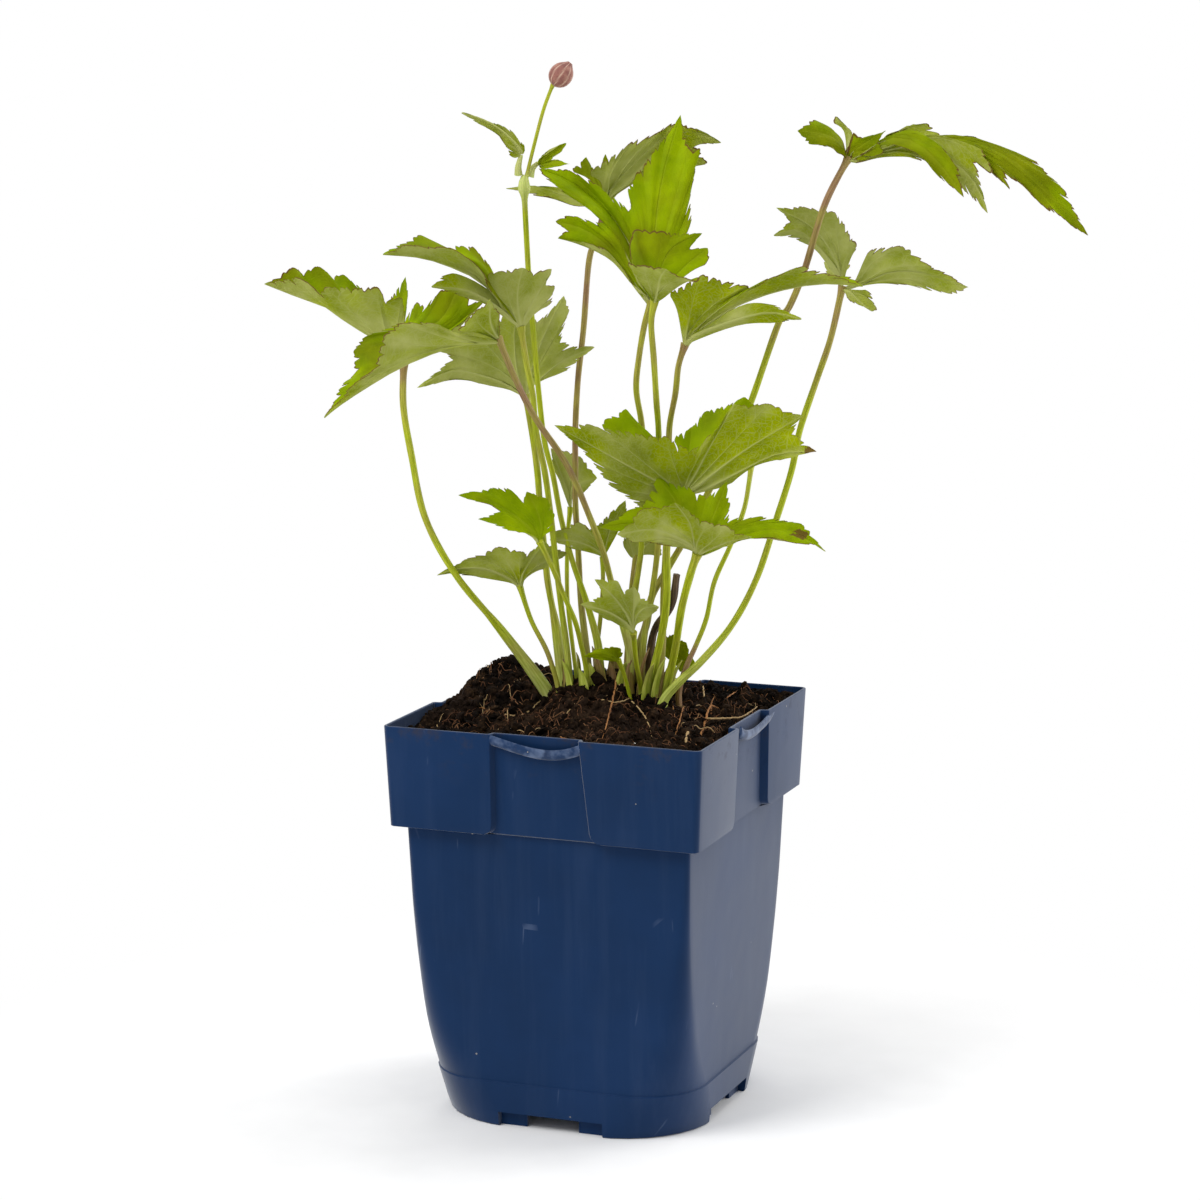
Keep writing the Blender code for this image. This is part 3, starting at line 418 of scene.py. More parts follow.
# Each stalk: its radii at the top and at the foot, and its places from the crown to the hub.
STALKS = {
    "far_left": ((1.2, 2.8), [(-19, 9, 149), (-36, 3, 174), (-52, -2, 195), (-63, -2, 216),
        (-68, 3, 238), (-71, 8, 255), (-71, 12, 269)]),
    "near_left": ((1.1, 1.5), [(10, 4, 151), (11, 3, 164), (8, 0, 178), (4, -4, 193), (1, -8, 205),
        (-4, -14, 219), (-9, -19, 232), (-14, -23, 242), (-23, -28, 256), (-30, -34, 271),
        (-35, -38, 284)]),
    "upper_left": ((1.1, 1.4), [(-11, 5, 151), (-12, 4, 166), (-14, 1, 182), (-16, -1, 200),
        (-18, -3, 219), (-20, -5, 234), (-23, -7, 249), (-24, -7, 261), (-26, -9, 272),
        (-28, -10, 285)]),
    "behind_left": ((1.2, 3.1), [(-13, 10, 150), (-16, 13, 172), (-19, 17, 188), (-20, 18, 197),
        (-22, 21, 217), (-23, 22, 230), (-25, 22, 245), (-27, 21, 257)]),
    "tall_centre": ((1.1, 1.4), [(11, 10, 150), (11, 9, 173), (13, 8, 189), (15, 9, 203),
        (15, 9, 214), (16, 8, 232), (15, 6, 249), (13, 4, 262), (14, 2, 274), (16, 1, 286),
        (18, 0, 293)]),
    "centre_front": ((1.1, 1.4), [(15, 11, 150), (16, 9, 169), (19, 8, 187), (21, 5, 205),
        (21, 7, 215), (21, 5, 233), (21, -2, 247), (20, -11, 260), (19, -16, 275), (18, -19, 288),
        (19, -18, 295)]),
    "tall_back": ((1.1, 1.4), [(-4, 14, 150), (-5, 12, 165), (-7, 12, 183), (-8, 13, 202),
        (-9, 15, 219), (-9, 16, 231), (-9, 17, 246), (-8, 20, 264), (-6, 23, 282), (-4, 29, 306),
        (-1, 30, 315), (2, 32, 326)]),
    "centre_right": ((1.1, 1.4), [(22, 11, 151), (23, 10, 169), (23, 9, 184), (24, 10, 205),
        (25, 10, 218), (25, 9, 233), (25, 4, 248), (27, -1, 261), (28, -3, 271), (30, -4, 278)]),
    "top_right": ((1.2, 1.6), [(13, 14, 150), (14, 14, 164), (17, 15, 174), (19, 16, 184),
        (25, 15, 195), (33, 15, 209), (40, 15, 224), (49, 15, 242), (55, 13, 257), (64, 7, 285),
        (68, 4, 292), (73, 2, 305), (80, 3, 328), (88, 4, 344)]),
    "far_right": ((1.2, 1.8), [(23, -4, 149), (29, -2, 156), (37, 1, 163), (48, 7, 175),
        (57, 12, 191), (64, 17, 211), (70, 20, 230), (73, 21, 245), (79, 23, 263), (84, 24, 278),
        (88, 25, 296)]),
    "middle_big": ((1.4, 2.0), [(18, 6, 151), (22, 1, 171), (24, -4, 186), (24, -10, 208),
        (27, -13, 217), (30, -16, 227)]),
    "middle_front": ((1.4, 2.0), [(24, 4, 151), (27, -7, 168), (29, -21, 186), (32, -32, 201),
        (34, -36, 208)]),
    "low_left_bright": ((0.9, 1.1), [(-5, 2, 151), (-5, -2, 160), (-7, -7, 171), (-9, -12, 180),
        (-13, -15, 190), (-17, -20, 201), (-21, -24, 210)]),
    "low_left": ((0.9, 1.2), [(-15, 3, 151), (-19, 4, 165), (-25, 5, 177), (-29, 6, 189)]),
    "small_front": ((0.9, 1.2), [(15, 1, 152), (13, -11, 165), (12, -22, 177)]),
    "inner_left": ((0.8, 1.1), [(0, 12, 150), (-1, 9, 165), (0, 8, 176), (1, 7, 189),
        (1, 7, 199)]),
    "inner_upper": ((0.8, 1.1), [(-8, 12, 150), (-10, 16, 165), (-12, 21, 183), (-12, 27, 203),
        (-11, 29, 214)]),
    "inner_back": ((0.8, 1.0), [(9, 15, 149), (10, 18, 167), (11, 21, 182), (12, 22, 191),
        (13, 23, 197)]),
    "back_right": ((0.9, 1.3), [(29, 8, 151), (32, 10, 160), (35, 13, 166), (39, 15, 176),
        (42, 19, 189), (48, 23, 202), (53, 29, 214), (55, 34, 223), (56, 38, 229)]),
    "crown_bright": ((0.7, 0.9), [(11, -2, 149), (9, -4, 158), (7, -7, 164)]),
    "crown_green": ((0.8, 1.0), [(27, 16, 149), (27, 18, 154), (27, 20, 159)]),
}

# How brown each stalk is, by its share of the way up; the rest are green all along.
BROWNED = {
    "far_left": ((0.0, 0.05), (0.8, 0.1), (0.97, 0.9), (1.0, 1.0)),
    "near_left": ((0.0, 0.1), (0.3, 0.35), (0.6, 0.75), (1.0, 0.95)),
    "upper_left": ((0.0, 0.0), (0.7, 0.1), (1.0, 0.3)),
    "behind_left": ((0.0, 0.1), (0.5, 0.3), (1.0, 0.2)),
    "tall_centre": ((0.0, 0.1), (0.6, 0.35), (1.0, 0.55)),
    "centre_front": ((0.0, 0.3), (0.4, 0.5), (0.7, 0.1), (1.0, 0.3)),
    "tall_back": ((0.0, 0.5), (0.3, 0.7), (1.0, 0.9)),
    "centre_right": ((0.0, 0.5), (0.5, 0.4), (0.8, 0.5), (1.0, 0.8)),
    "top_right": ((0.0, 0.35), (0.3, 0.5), (0.5, 0.1), (0.68, 0.35), (0.8, 0.9), (1.0, 0.95)),
    "far_right": ((0.0, 0.0), (0.68, 0.0), (0.8, 0.45), (0.9, 0.85), (1.0, 0.9)),
    "low_left": ((0.0, 0.7), (0.4, 0.45), (1.0, 0.1)),
    "back_right": ((0.0, 1.0), (0.24, 1.0), (0.28, 0.1), (1.0, 0.1)),
    "inner_back": ((0.0, 0.9), (1.0, 0.6)),
    "inner_left": ((0.0, 0.4), (1.0, 0.2)),
}
GREEN = ((0.0, 0.0), (1.0, 0.06))


def to_pot(point):
    """A point of the clump's frame in the pot's frame."""
    u, v, z = point
    return np.array([*turned(u, v, CLUMP_TURN), z], float)


def unit(vector):
    """Unit vectors along the last axis."""
    vector = np.asarray(vector, float)
    return vector / np.maximum(np.linalg.norm(vector, axis=-1, keepdims=True), 1e-9)


def walked_along(path):
    """The distance walked at each point of a path."""
    return np.concatenate([[0.0], np.cumsum(np.linalg.norm(np.diff(path, axis=0), axis=1))])


def catmull_rom(a, b, c, d, t):
    """The curve through b and c, a share t of the way between them."""
    return 0.5 * (2 * b + (c - a) * t + (2 * a - 5 * b + 4 * c - d) * t ** 2
                  + (3 * b - a - 3 * c + d) * t ** 3)


def smooth_path(knots, count):
    """Points along a smooth curve through the knots."""
    knots = np.array(knots, float)
    padded = np.vstack([2 * knots[0] - knots[1], knots, 2 * knots[-1] - knots[-2]])
    lengths = np.linalg.norm(np.diff(knots, axis=0), axis=1)
    reach = walked_along(knots)
    where = np.linspace(0.0, reach[-1], count)
    i = np.clip(np.searchsorted(reach, where, side="right") - 1, 0, len(knots) - 2)
    t = ((where - reach[i]) / lengths[i])[:, None]
    return catmull_rom(padded[i], padded[i + 1], padded[i + 2], padded[i + 3], t)


def stem_skin(path, radii, sides=STALK_SIDES, ribs=0, rib_depth=0.05, flat=None):
    """Points, faces and marks of a stem along a path, closed with flat ends."""
    along = unit(np.gradient(path, axis=0))
    across = unit(np.cross(along[0], (0.31, 0.95, 0.1)))
    turn = 2 * math.pi * np.arange(sides) / sides
    points = []
    for i, place in enumerate(path):
        across = unit(across - np.dot(across, along[i]) * along[i])
        other = np.cross(along[i], across)
        girth = radii[i] * (1.0 + rib_depth * np.cos(ribs * turn)) if ribs else radii[i] + 0 * turn
        ring = (np.cos(turn) * girth)[:, None] * across + (np.sin(turn) * girth)[:, None] * other
        if flat is not None and flat[i] != 1.0:
            # A sheath is widened round the crown's middle.
            wide = unit(np.cross((0.0, 0.0, 1.0), place - (0.0, 8.0, place[2]) + 1e-6))
            ring = ring + np.outer(ring @ wide, wide) * (flat[i] - 1.0)
        points.append(place + ring)
    points = np.vstack(points)
    faces = tube_faces(len(path), sides)
    faces.append(tuple(reversed(range(sides))))
    faces.append(tuple(range(len(points) - sides, len(points))))
    marks = {"around": np.tile(turn / (2 * math.pi), len(path)),
             "along_mm": np.repeat(walked_along(path), sides),
             "rise": np.repeat(np.linspace(0.0, 1.0, len(path)), sides)}
    return points, faces, marks


# Plant skin has an IOR near 1.4 and a satin cuticle. Fine lengthwise ribs and vessels show as
# paler and darker streaks about 0.3 mm wide; brown is dried, purple-flushed skin.
stalk_green, tree, place = start_material("living_stalk_skin")
marks = {name: add(tree, "Attribute", take="Fac", attribute_name=name)
         for name in ("around", "along_mm", "brown", "pale")}
angle = add(tree, "Math", {0: marks["around"], 1: 2 * math.pi}, operation="MULTIPLY")
side_x = add(tree, "Math", {0: angle}, operation="COSINE")
side_y = add(tree, "Math", {0: angle}, operation="SINE")
drawn_out = add(tree, "Math", {0: marks["along_mm"], 1: 0.035}, operation="MULTIPLY")
rolled = add(tree, "CombineXYZ", {0: side_x, 1: side_y, 2: drawn_out})
vessels = add(tree, "TexNoise", {"Vector": rolled, "Scale": 3.2, "Detail": 4.0, "Roughness": 0.6})
green = add(tree, "ValToRGB", {"Fac": vessels},
            stops=[(0.3, "#7E8C0A"), (0.5, "#A2AD18"), (0.72, "#C4CA3C")])
dry = add(tree, "ValToRGB", {"Fac": vessels},
          stops=[(0.3, "#6E5236"), (0.5, "#8B6C4A"), (0.72, "#A68A62")])
pale_tint = add(tree, "ValToRGB", {"Fac": vessels}, stops=[(0.3, "#A2B048"), (0.7, "#D4DA90")])
# The brown comes and goes in patches about 11 mm long.
patches = add(tree, "TexNoise", {"Vector": place, "Scale": 90.0, "Detail": 3.0})
patches = add(tree, "MapRange", {0: patches, 1: 0.35, 2: 0.65, 3: -0.22, 4: 0.22})
worn = add(tree, "Math", {0: marks["brown"], 1: patches}, operation="ADD", use_clamp=True)
skin = add(tree, "Mix", {"Factor": marks["pale"], "A": green, "B": pale_tint}, data_type="RGBA")
skin = add(tree, "Mix", {"Factor": worn, "A": skin, "B": dry}, data_type="RGBA")
relief = add(tree, "Bump", {"Height": vessels, "Strength": 0.35, "Distance": 0.0002})
shade = add(tree, "BsdfPrincipled", {"Base Color": skin, "Roughness": 0.48, "Normal": relief,
                                     "IOR": 1.4, "Specular IOR Level": 0.25,
                                     "Subsurface Weight": 0.12, "Subsurface Scale": 0.0008,
                                     "Subsurface Radius": (0.6, 1.0, 0.2)})
add(tree, "OutputMaterial", {"Surface": shade})


def make_stalk(name, knots, girth, node, browning, sheath):
    """A leaf stalk from under the peat to the blade's hub, flared at both ends."""
    knots = [to_pot(p) for p in knots]
    length = sum(np.linalg.norm(b - a) for a, b in zip(knots, knots[1:]))
    end = knots[-1] + 1.3 * unit(knots[-1] - knots[-2])
    path = smooth_path([knots[0] - BURIED, *knots, end], max(14, int(length / 1.6)))
    rise = np.linspace(0.0, 1.0, len(path))
    top, base = girth
    foot_ease = 1.5 if sheath < 1.0 else 0.8
    radii = top + (base - top) * np.clip(1.0 - rise / 0.32, 0.0, 1.0) ** foot_ease
    # The last 7 mm swell towards the hub, and the whole length is slightly uneven.
    radii *= 1.0 + 0.5 * np.clip(1.0 + (rise - 1.0) * length / 7.0, 0.0, 1.0) ** 2
    radii *= 1.0 + 0.025 * np.sin(rise * length * 0.35 + len(name))
    flat = 1.0 + sheath * np.clip(1.0 - rise / SHEATH_SHARE, 0.0, 1.0) ** 1.2
    points, faces, marks = stem_skin(path, radii, ribs=RIB_COUNT, flat=flat)
    shares, amounts = zip(*browning)
    marks["brown"] = np.interp(marks["rise"], shares, amounts)
    # Pale at the sheath, full on the broadest sheaths, where the extra pale is a painted
    # highlight.
    in_sheath = np.clip(1.0 - marks["rise"] / SHEATH_SHARE, 0.0, 1.0)
    marks["pale"] = np.clip(sheath * in_sheath, 0.0, 1.0)
    make_piece(name, points, faces, stalk_green, node, marks=marks)


for name, (girth, stalk) in STALKS.items():
    make_stalk(f"stalk_{name}", stalk, girth, f"leaf_{name}_stalk", BROWNED.get(name, GREEN),
               1.1 if name in SHEATHED else 0.6)

# -------------------- potting compost
# Moist dark peat compost fills the pot, heaped round the crown and against the left and back
# walls. Its surface is loose crumbs, brown moss fibres, roots, straws and white perlite grains.
PEAT_CLEARANCE = 0.35
PEAT_INSET = WALL + PEAT_CLEARANCE
PEAT_SHOULDER = COLLAR_FOOT + WALL + PEAT_CLEARANCE
PEAT_FOOT = FLOOR_TOP + PEAT_CLEARANCE
PEAT_LEVEL = 142.0
COLLAR_PEAT_LEVELS = (137.0, 130.0, 122.0, 115.0, PEAT_SHOULDER)
BODY_PEAT_LEVELS = (BODY_TOP, 90.0, 63.0, 37.0, 20.0, PEAT_FOOT)
# Each heap: its place in the clump's frame, its height and its spread.
HEAPS = ((2, 8, 8, 28), (0, 5, 7, 12), (-34, 30, 14, 13), (-52, 8, 4, 12), (4, -52, 2.5, 22),
         (58, 34, 5, 18), (20, 58, 4, 16), (10, 44, 4, 12))
SURFACE_CELLS = 220
CRUMBS = 5200
FIBRES = 700
FINE_ROOTS = 26
# The larger roots and straws: tan bark or straw, radius, and places with their lift.
ROOTS = [
    ("bark", 0.5, [(45.4, -21.9, 0.3), (40.2, 0.2, 1.0), (37.1, 15.6, 1.5), (38.5, 23.4, 1.5),
                   (42.2, 26.1, 0.3)]),
    ("straw", 0.38, [(38.8, 6.1, 1.4), (45.0, 3.0, 2.6), (51.6, 8.5, 3.6), (53.0, 21.8, 4.4)]),
    ("bark", 0.28, [(38.0, 14.0, 1.0), (34.0, 25.7, 1.2), (30.9, 38.6, 1.0)]),
    ("straw", 0.28, [(28.4, 33.4, 0.3), (26.1, 39.2, 2.5), (24.5, 43.3, 4.5)]),
    ("bark", 0.24, [(39.6, 27.0, 1.0), (37.6, 44.1, 0.5)]),
    ("bark", 0.26, [(29.1, 9.0, 1.5), (33.8, -8.2, 1.5), (38.0, -25.3, 0.2)]),
    ("straw", 0.55, [(41.4, -21.1, 2.5), (43.0, -26.9, 1.5), (46.0, -31.9, 0.0)]),
    ("bark", 0.34, [(4.3, 5.4, 1.0), (10.3, -15.3, 1.5), (16.9, -41.7, 0.0)]),
    ("straw", 0.26, [(4.0, -8.9, 0.3), (10.1, -10.0, 1.5), (11.8, 0.8, 1.0)]),
    ("straw", 0.26, [(13.1, -1.7, 0.5), (21.6, -12.1, 1.2), (28.7, -24.1, 1.0),
                     (32.0, -33.0, 0.0)]),
    ("straw", 0.32, [(-29.5, -19.6, 0.2), (-22.7, -18.3, 1.0), (-21.6, -3.7, 1.0)]),
    ("straw", 0.24, [(-5.0, -26.0, 0.3), (-4.2, -14.5, 1.0)]),
    ("bark", 0.24, [(20.7, 19.5, 1.0), (31.0, -5.8, 0.3)]),
    ("bark", 0.24, [(-42.8, -20.2, 0.5), (-39.9, -15.9, 1.2), (-34.4, -21.5, 0.4)]),
    ("bark", 0.22, [(2.7, -46.4, 0.5), (11.5, -52.5, 0.8), (14.9, -48.6, 0.4)]),
    ("bark", 0.3, [(-20.0, 44.0, 0.3), (-6.0, 48.0, 1.6), (8.0, 45.0, 0.2)]),
]
# Each grain of perlite: its place and radius.
PERLITE = ((-21.1, -34.1, 0.55), (-10.2, -35.2, 0.6), (17.0, 40.0, 0.5), (-44.0, -8.0, 0.4),
           (30.0, -44.0, 0.4))


def peat_height(x, y):
    """The compost's general level over the pot's plan, falling a little to the right."""
    u, v = turned(x, y, -CLUMP_TURN)
    level = PEAT_LEVEL - 1.5 * max(u, 0.0) / 60.0
    for mid_u, mid_v, rise, spread in HEAPS:
        level += rise * math.exp(-((u - mid_u) ** 2 + (v - mid_v) ** 2) / (2 * spread ** 2))
    return level


def peat_lumps(x, y):
    """Lumps 9 mm, crumbs 3 mm and pits 1 mm across, as a height above the general level."""
    lumps = noise.fractal(Vector((x / 9.0, y / 9.0, 0.3)), 0.9, 2.1, 3)
    crumbs = noise.turbulence(Vector((x / 3.2, y / 3.2, 5.0)), 4, False)
    pits = noise.noise(Vector((x / 1.3, y / 1.3, 9.0)))
    return 1.9 * lumps + 2.4 * (crumbs - 0.75) + 0.5 * pits


def peat_surface(x, y):
    """The compost's level with its lumps."""
    return peat_height(x, y) + peat_lumps(x, y)


brim_half = collar_section(PEAT_LEVEL)[0] - PEAT_INSET
insides = {}


def brim_point(gx, gy, level=PEAT_LEVEL):
    """Map a square of half width 1 onto the inside of the collar, recesses included."""
    half, radius = collar_section(level)
    half, radius = half - PEAT_INSET, max(radius - PEAT_INSET, LEAST_RADIUS)
    if level not in insides:
        insides[level] = tuple(zip(*side_stations(level, half, radius, PEAT_INSET)))
    side_x, side_back = insides[level]
    reach = max(abs(gx), abs(gy))
    if reach == 0.0:
        return 0.0, 0.0
    if abs(gy) >= abs(gx):
        turn = 0.0 if gy < 0 else math.pi
        along = gx / reach * (1 if gy < 0 else -1)
    else:
        turn = math.pi / 2 if gx > 0 else -math.pi / 2
        along = gy / reach * (1 if gx > 0 else -1)
    x = along * half
    y = -half + float(np.interp(x, side_x, side_back))
    return turned(x * reach, y * reach, turn)


def body_point(gx, gy, level):
    """Map the same square onto the inside of the body, whose corners are round."""
    half, radius = body_section(level)
    half, radius = half - PEAT_INSET, max(radius - PEAT_INSET, LEAST_RADIUS)
    x, y = gx * half, gy * half
    straight = half - radius
    past_x, past_y = max(abs(x) - straight, 0.0), max(abs(y) - straight, 0.0)
    if past_x > 0.0 and past_y > 0.0:
        shrink = radius / max(math.hypot(past_x, past_y), radius)
        x = math.copysign(straight + past_x * shrink, x)
        y = math.copysign(straight + past_y * shrink, y)
    return x, y


def grid_faces(rows, columns):
    """Faces between the points of a grid, row by row."""
    starts = [r * columns + k for r in range(rows - 1) for k in range(columns - 1)]
    return [(a, a + 1, a + columns + 1, a + columns) for a in starts]


def grid_place(i, j):
    """Where a corner of the surface's cells stands in the square."""
    return 2.0 * i / SURFACE_CELLS - 1.0, 2.0 * j / SURFACE_CELLS - 1.0


# Peat is near black when moist. Clods about 6 mm across are drawn brown on their tops and near
# black in their pits, after the same noise as their relief; the peat dries browner in drifts about
# 30 mm wide, and grit of 1 mm speckles all of it.
peat, tree, place = start_material("moist_peat_compost")
clods = add(tree, "TexNoise", {"Vector": place, "Scale": 160.0, "Detail": 8.0, "Roughness": 0.7})
# Colour follows the clods' relief noise: lighter where the surface stands higher, near black where
# it sinks.
body = add(tree, "ValToRGB", {"Fac": clods},
           stops=[(0.34, "#030201"), (0.5, "#120B07"), (0.62, "#2E2115"), (0.76, "#6E523A")])
dry = add(tree, "TexNoise", {"Vector": place, "Scale": 35.0, "Detail": 3.0})
dry = add(tree, "MapRange", {0: dry, 1: 0.45, 2: 0.75, 3: 0.0, 4: 0.22})
body = add(tree, "Mix", {"Factor": dry, "A": body, "B": "#6B5240"}, data_type="RGBA")
grit = add(tree, "TexVoronoi", {"Vector": place, "Scale": 900.0}, take="Distance")
grit_tint = add(tree, "MapRange", {0: grit, 1: 0.0, 2: 0.7, 3: 1.4, 4: 0.6})
body = add(tree, "Mix", {"Factor": 1.0, "A": body, "B": grit_tint}, data_type="RGBA",
           blend_type="MULTIPLY")
relief = add(tree, "Bump", {"Height": clods, "Strength": 0.8, "Distance": 0.0008})
relief = add(tree, "Bump", {"Height": grit, "Strength": 0.5, "Distance": 0.0004, "Normal": relief})
shade = add(tree, "BsdfPrincipled", {"Base Color": body, "Roughness": 0.9, "Normal": relief,
                                     "Specular IOR Level": 0.05})
add(tree, "OutputMaterial", {"Surface": shade})

n = SURFACE_CELLS + 1
points = []
for j in range(n):
    for i in range(n):
        gx, gy = grid_place(i, j)
        x, y = brim_point(gx, gy)
        edge = max(abs(gx), abs(gy))
        z = peat_height(x, y) + peat_lumps(x, y) * (1.0 if edge < 0.97 else 0.5)
        points.append((x, y, min(z, POT_HEIGHT - 0.6) if edge > 0.985 else z))
faces = grid_faces(n, n)
border = [(i, 0) for i in range(SURFACE_CELLS)]
border += [(SURFACE_CELLS, j) for j in range(SURFACE_CELLS)]
border += [(i, SURFACE_CELLS) for i in range(SURFACE_CELLS, 0, -1)]
border += [(0, j) for j in range(SURFACE_CELLS, 0, -1)]
levels = [[(*brim_point(*grid_place(i, j), level), level) for i, j in border]
          for level in COLLAR_PEAT_LEVELS]
levels += [[(*body_point(*grid_place(i, j), level),
             PEAT_SHOULDER - 0.05 if level == BODY_TOP else level) for i, j in border]
           for level in BODY_PEAT_LEVELS]
ring = [j * n + i for i, j in border]
around = [(k, (k + 1) % len(ring)) for k in range(len(ring))]
for level in levels:
    fresh = list(range(len(points), len(points) + len(level)))
    points += level
    faces += [(ring[a], fresh[a], fresh[b], ring[b]) for a, b in around]
    ring = fresh
points.append((0.0, 0.0, PEAT_FOOT))
faces += [(ring[a], len(points) - 1, ring[b]) for a, b in around]
make_piece("compost_body", points, faces, peat, "potting_peat", smooth_angle=70.0)


def add_skin(points, faces, new_points, new_faces):
    """Add one closed skin to the points and faces of a piece."""
    start = len(points)
    points += list(new_points)
    faces += [tuple(start + k for k in f) for f in new_faces]


# Loose crumbs lie on the surface, sunk by a third, and smaller beside the walls.
draw = random.Random(7)
bm = bmesh.new()
bmesh.ops.create_icosphere(bm, subdivisions=1, radius=1.0)
lump_points = [tuple(v.co) for v in bm.verts]
lump_faces = [tuple(v.index for v in f.verts) for f in bm.faces]
bm.free()
points, faces = [], []
for _ in range(CRUMBS):
    gx, gy = draw.uniform(-0.985, 0.985), draw.uniform(-0.985, 0.985)
    x, y = brim_point(gx, gy)
    edge = max(abs(gx), abs(gy))
    size = 0.35 + 1.1 * draw.random() ** 3 + (1.6 if draw.random() < 0.05 else 0.0)
    size = min(size, 0.6 + 30.0 * (1.0 - edge))
    z = peat_surface(x, y) + 0.25 * size
    if edge > 0.93:
        z = min(z, POT_HEIGHT - 0.4 - size)
    turn = Euler([draw.uniform(0.0, 6.28) for _ in range(3)]).to_matrix()
    stretch = [size * draw.uniform(0.55, 1.3) for _ in range(3)]
    crumb = []
    for px, py, pz in lump_points:
        knock = draw.uniform(0.75, 1.15)
        moved = turn @ Vector((px * stretch[0], py * stretch[1], pz * stretch[2] * 0.8)) * knock
        crumb.append((x + moved.x, y + moved.y, z + moved.z))
    add_skin(points, faces, crumb, lump_faces)
make_piece("compost_crumbs", points, faces, peat, smooth_angle=20.0)


def dry_finish(name, scale, detail, stops, roughness, gloss, strength=0.0):
    """A dry, matt skin, mottled at a scale, with a relief of 0.2 mm where it is thick enough."""
    made, tree, place = start_material(name)
    shift = add(tree, "TexNoise", {"Vector": place, "Scale": scale, "Detail": detail})
    skin = {"Base Color": add(tree, "ValToRGB", {"Fac": shift}, stops=stops),
            "Roughness": roughness, "Specular IOR Level": gloss}
    if strength:
        skin["Normal"] = add(tree, "Bump", {"Height": shift, "Strength": strength,
                                            "Distance": 0.0002})
    add(tree, "OutputMaterial", {"Surface": add(tree, "BsdfPrincipled", skin)})
    return made


# Moss fibres are matt and brown, changing every 8 mm or so. Roots and the straws of old stems
# are paler and smoother; the larger roots have a tan bark. Both are mottled every 3 mm.
fibre_skin = dry_finish("moss_fibre", 120.0, 2.0,
                        [(0.3, "#3A2213"), (0.5, "#63402A"), (0.7, "#8A6444")], 0.85, 0.2)
root_skin = dry_finish("living_root", 300.0, 3.0, [(0.3, "#8C6E44"), (0.7, "#C0A272")],
                       0.7, 0.5, 0.5)
bark_skin = dry_finish("root_bark", 300.0, 3.0, [(0.3, "#6E4526"), (0.7, "#A87444")],
                       0.75, 0.2, 0.5)


def strand_skin(path, radius, sides):
    """Points and faces of a strand that thins to its end."""
    thinning = 1.0 - 0.6 * np.linspace(0, 1, len(path)) ** 2
    return stem_skin(path, radius * thinning, sides)[:2]


def scatter_strands(name, count, length, girth, sides, lift, material):
    """Thin strands lying on the compost, following its crumbs."""
    points, faces = [], []
    for _ in range(count):
        x, y = brim_point(draw.uniform(-0.93, 0.93), draw.uniform(-0.93, 0.93))
        heading = draw.uniform(0.0, 2 * math.pi)
        bend = draw.uniform(-0.35, 0.35)
        run = draw.uniform(*length)
        radius = draw.uniform(*girth)
        steps = max(5, int(run / 1.5))
        rise = draw.uniform(-0.2, 1.0) * lift
        path = []
        for k in range(steps):
            share = k / (steps - 1)
            arch = rise * math.sin(math.pi * share)
            path.append((x, y, peat_surface(x, y) + radius * 0.6 + arch))
            x += run / steps * math.cos(heading)
            y += run / steps * math.sin(heading)
            if max(abs(x), abs(y)) > brim_half - 4.0:
                break
            heading += bend + draw.uniform(-0.25, 0.25)
        if len(path) < 4:
            continue
        path = smooth_path(path, 2 * len(path))
        add_skin(points, faces, *strand_skin(path, radius, sides))
    make_piece(name, points, faces, material)


scatter_strands("moss_fibres", FIBRES, (3.0, 12.0), (0.08, 0.2), 4, 1.6, fibre_skin)
scatter_strands("fine_roots", FINE_ROOTS, (8.0, 20.0), (0.12, 0.22), 6, 1.2, root_skin)
for kind, skin in (("bark", bark_skin), ("straw", root_skin)):
    points, faces = [], []
    for _, radius, knots in (root for root in ROOTS if root[0] == kind):
        knots = [(x, y, peat_surface(x, y) + lift + 0.5 * radius) for x, y, lift in knots]
        path = smooth_path(knots, 8 * len(knots))
        path += np.array([[draw.uniform(-0.15, 0.15) for _ in range(3)] for _ in path])
        add_skin(points, faces, *strand_skin(path, radius, 8))
    make_piece(f"{kind}_roots", points, faces, skin)

# A few white grains of expanded perlite, about a millimetre across, pored like foam.
perlite = dry_finish("expanded_perlite", 2500.0, 3.0, [(0.3, "#CFCBC2"), (0.6, "#EEECE6")],
                     0.9, 0.5, 0.5)
points, faces = [], []
for x, y, size in PERLITE:
    z = peat_surface(x, y) + 0.7 * size
    grain = []
    for px, py, pz in lump_points:
        knock = size * draw.uniform(0.8, 1.1)
        grain.append((x + px * knock, y + py * knock, z + 0.8 * pz * knock))
    add_skin(points, faces, grain, lump_faces)
make_piece("perlite_grains", points, faces, perlite)

# -------------------- leaf blades
# Each blade is a thin palmate sheet, about 0.3 mm thick, cut into toothed lobes and cupped or
# folded along its main ribs. The upper side is bright and satin; the underside is paler, downy
# and ribbed with raised veins. The teeth are rimmed with brown, and old blades have dry spots.
# Rings of the sheet from hub to margin, as shares of each rib's length.
RING_SHARES = np.array([0.0, 0.06, 0.15, 0.25, 0.36, 0.48, 0.6, 0.71, 0.81, 0.89, 0.945, 0.98,
                        1.0])
COLUMN_PITCH = 0.5
LOBE_SPACING = 4.5
LOBE_DEPTH = 2.5
TOOTH_DEPTH = 1.15
NARROW_LOBE = 3.4
VEIN_SPACING = 5.0
HALF_THICKNESS = 0.13
LEAST_THICKNESS = 0.03
RIB_STEPS = 40
RIPPLE = 0.5
BLADE_MARKS = ("upper", "tone", "vein_turns", "rib_mm", "edge_mm", "flat_u", "flat_v", "dead",
               "rim")
# Which way each fan's upper side looks: up, to the front or to the back.
UPPER_SIDE = {"u": (0, 0, 1), "n": (0, -1, 0.35), "a": (0, 1, 0.35)}
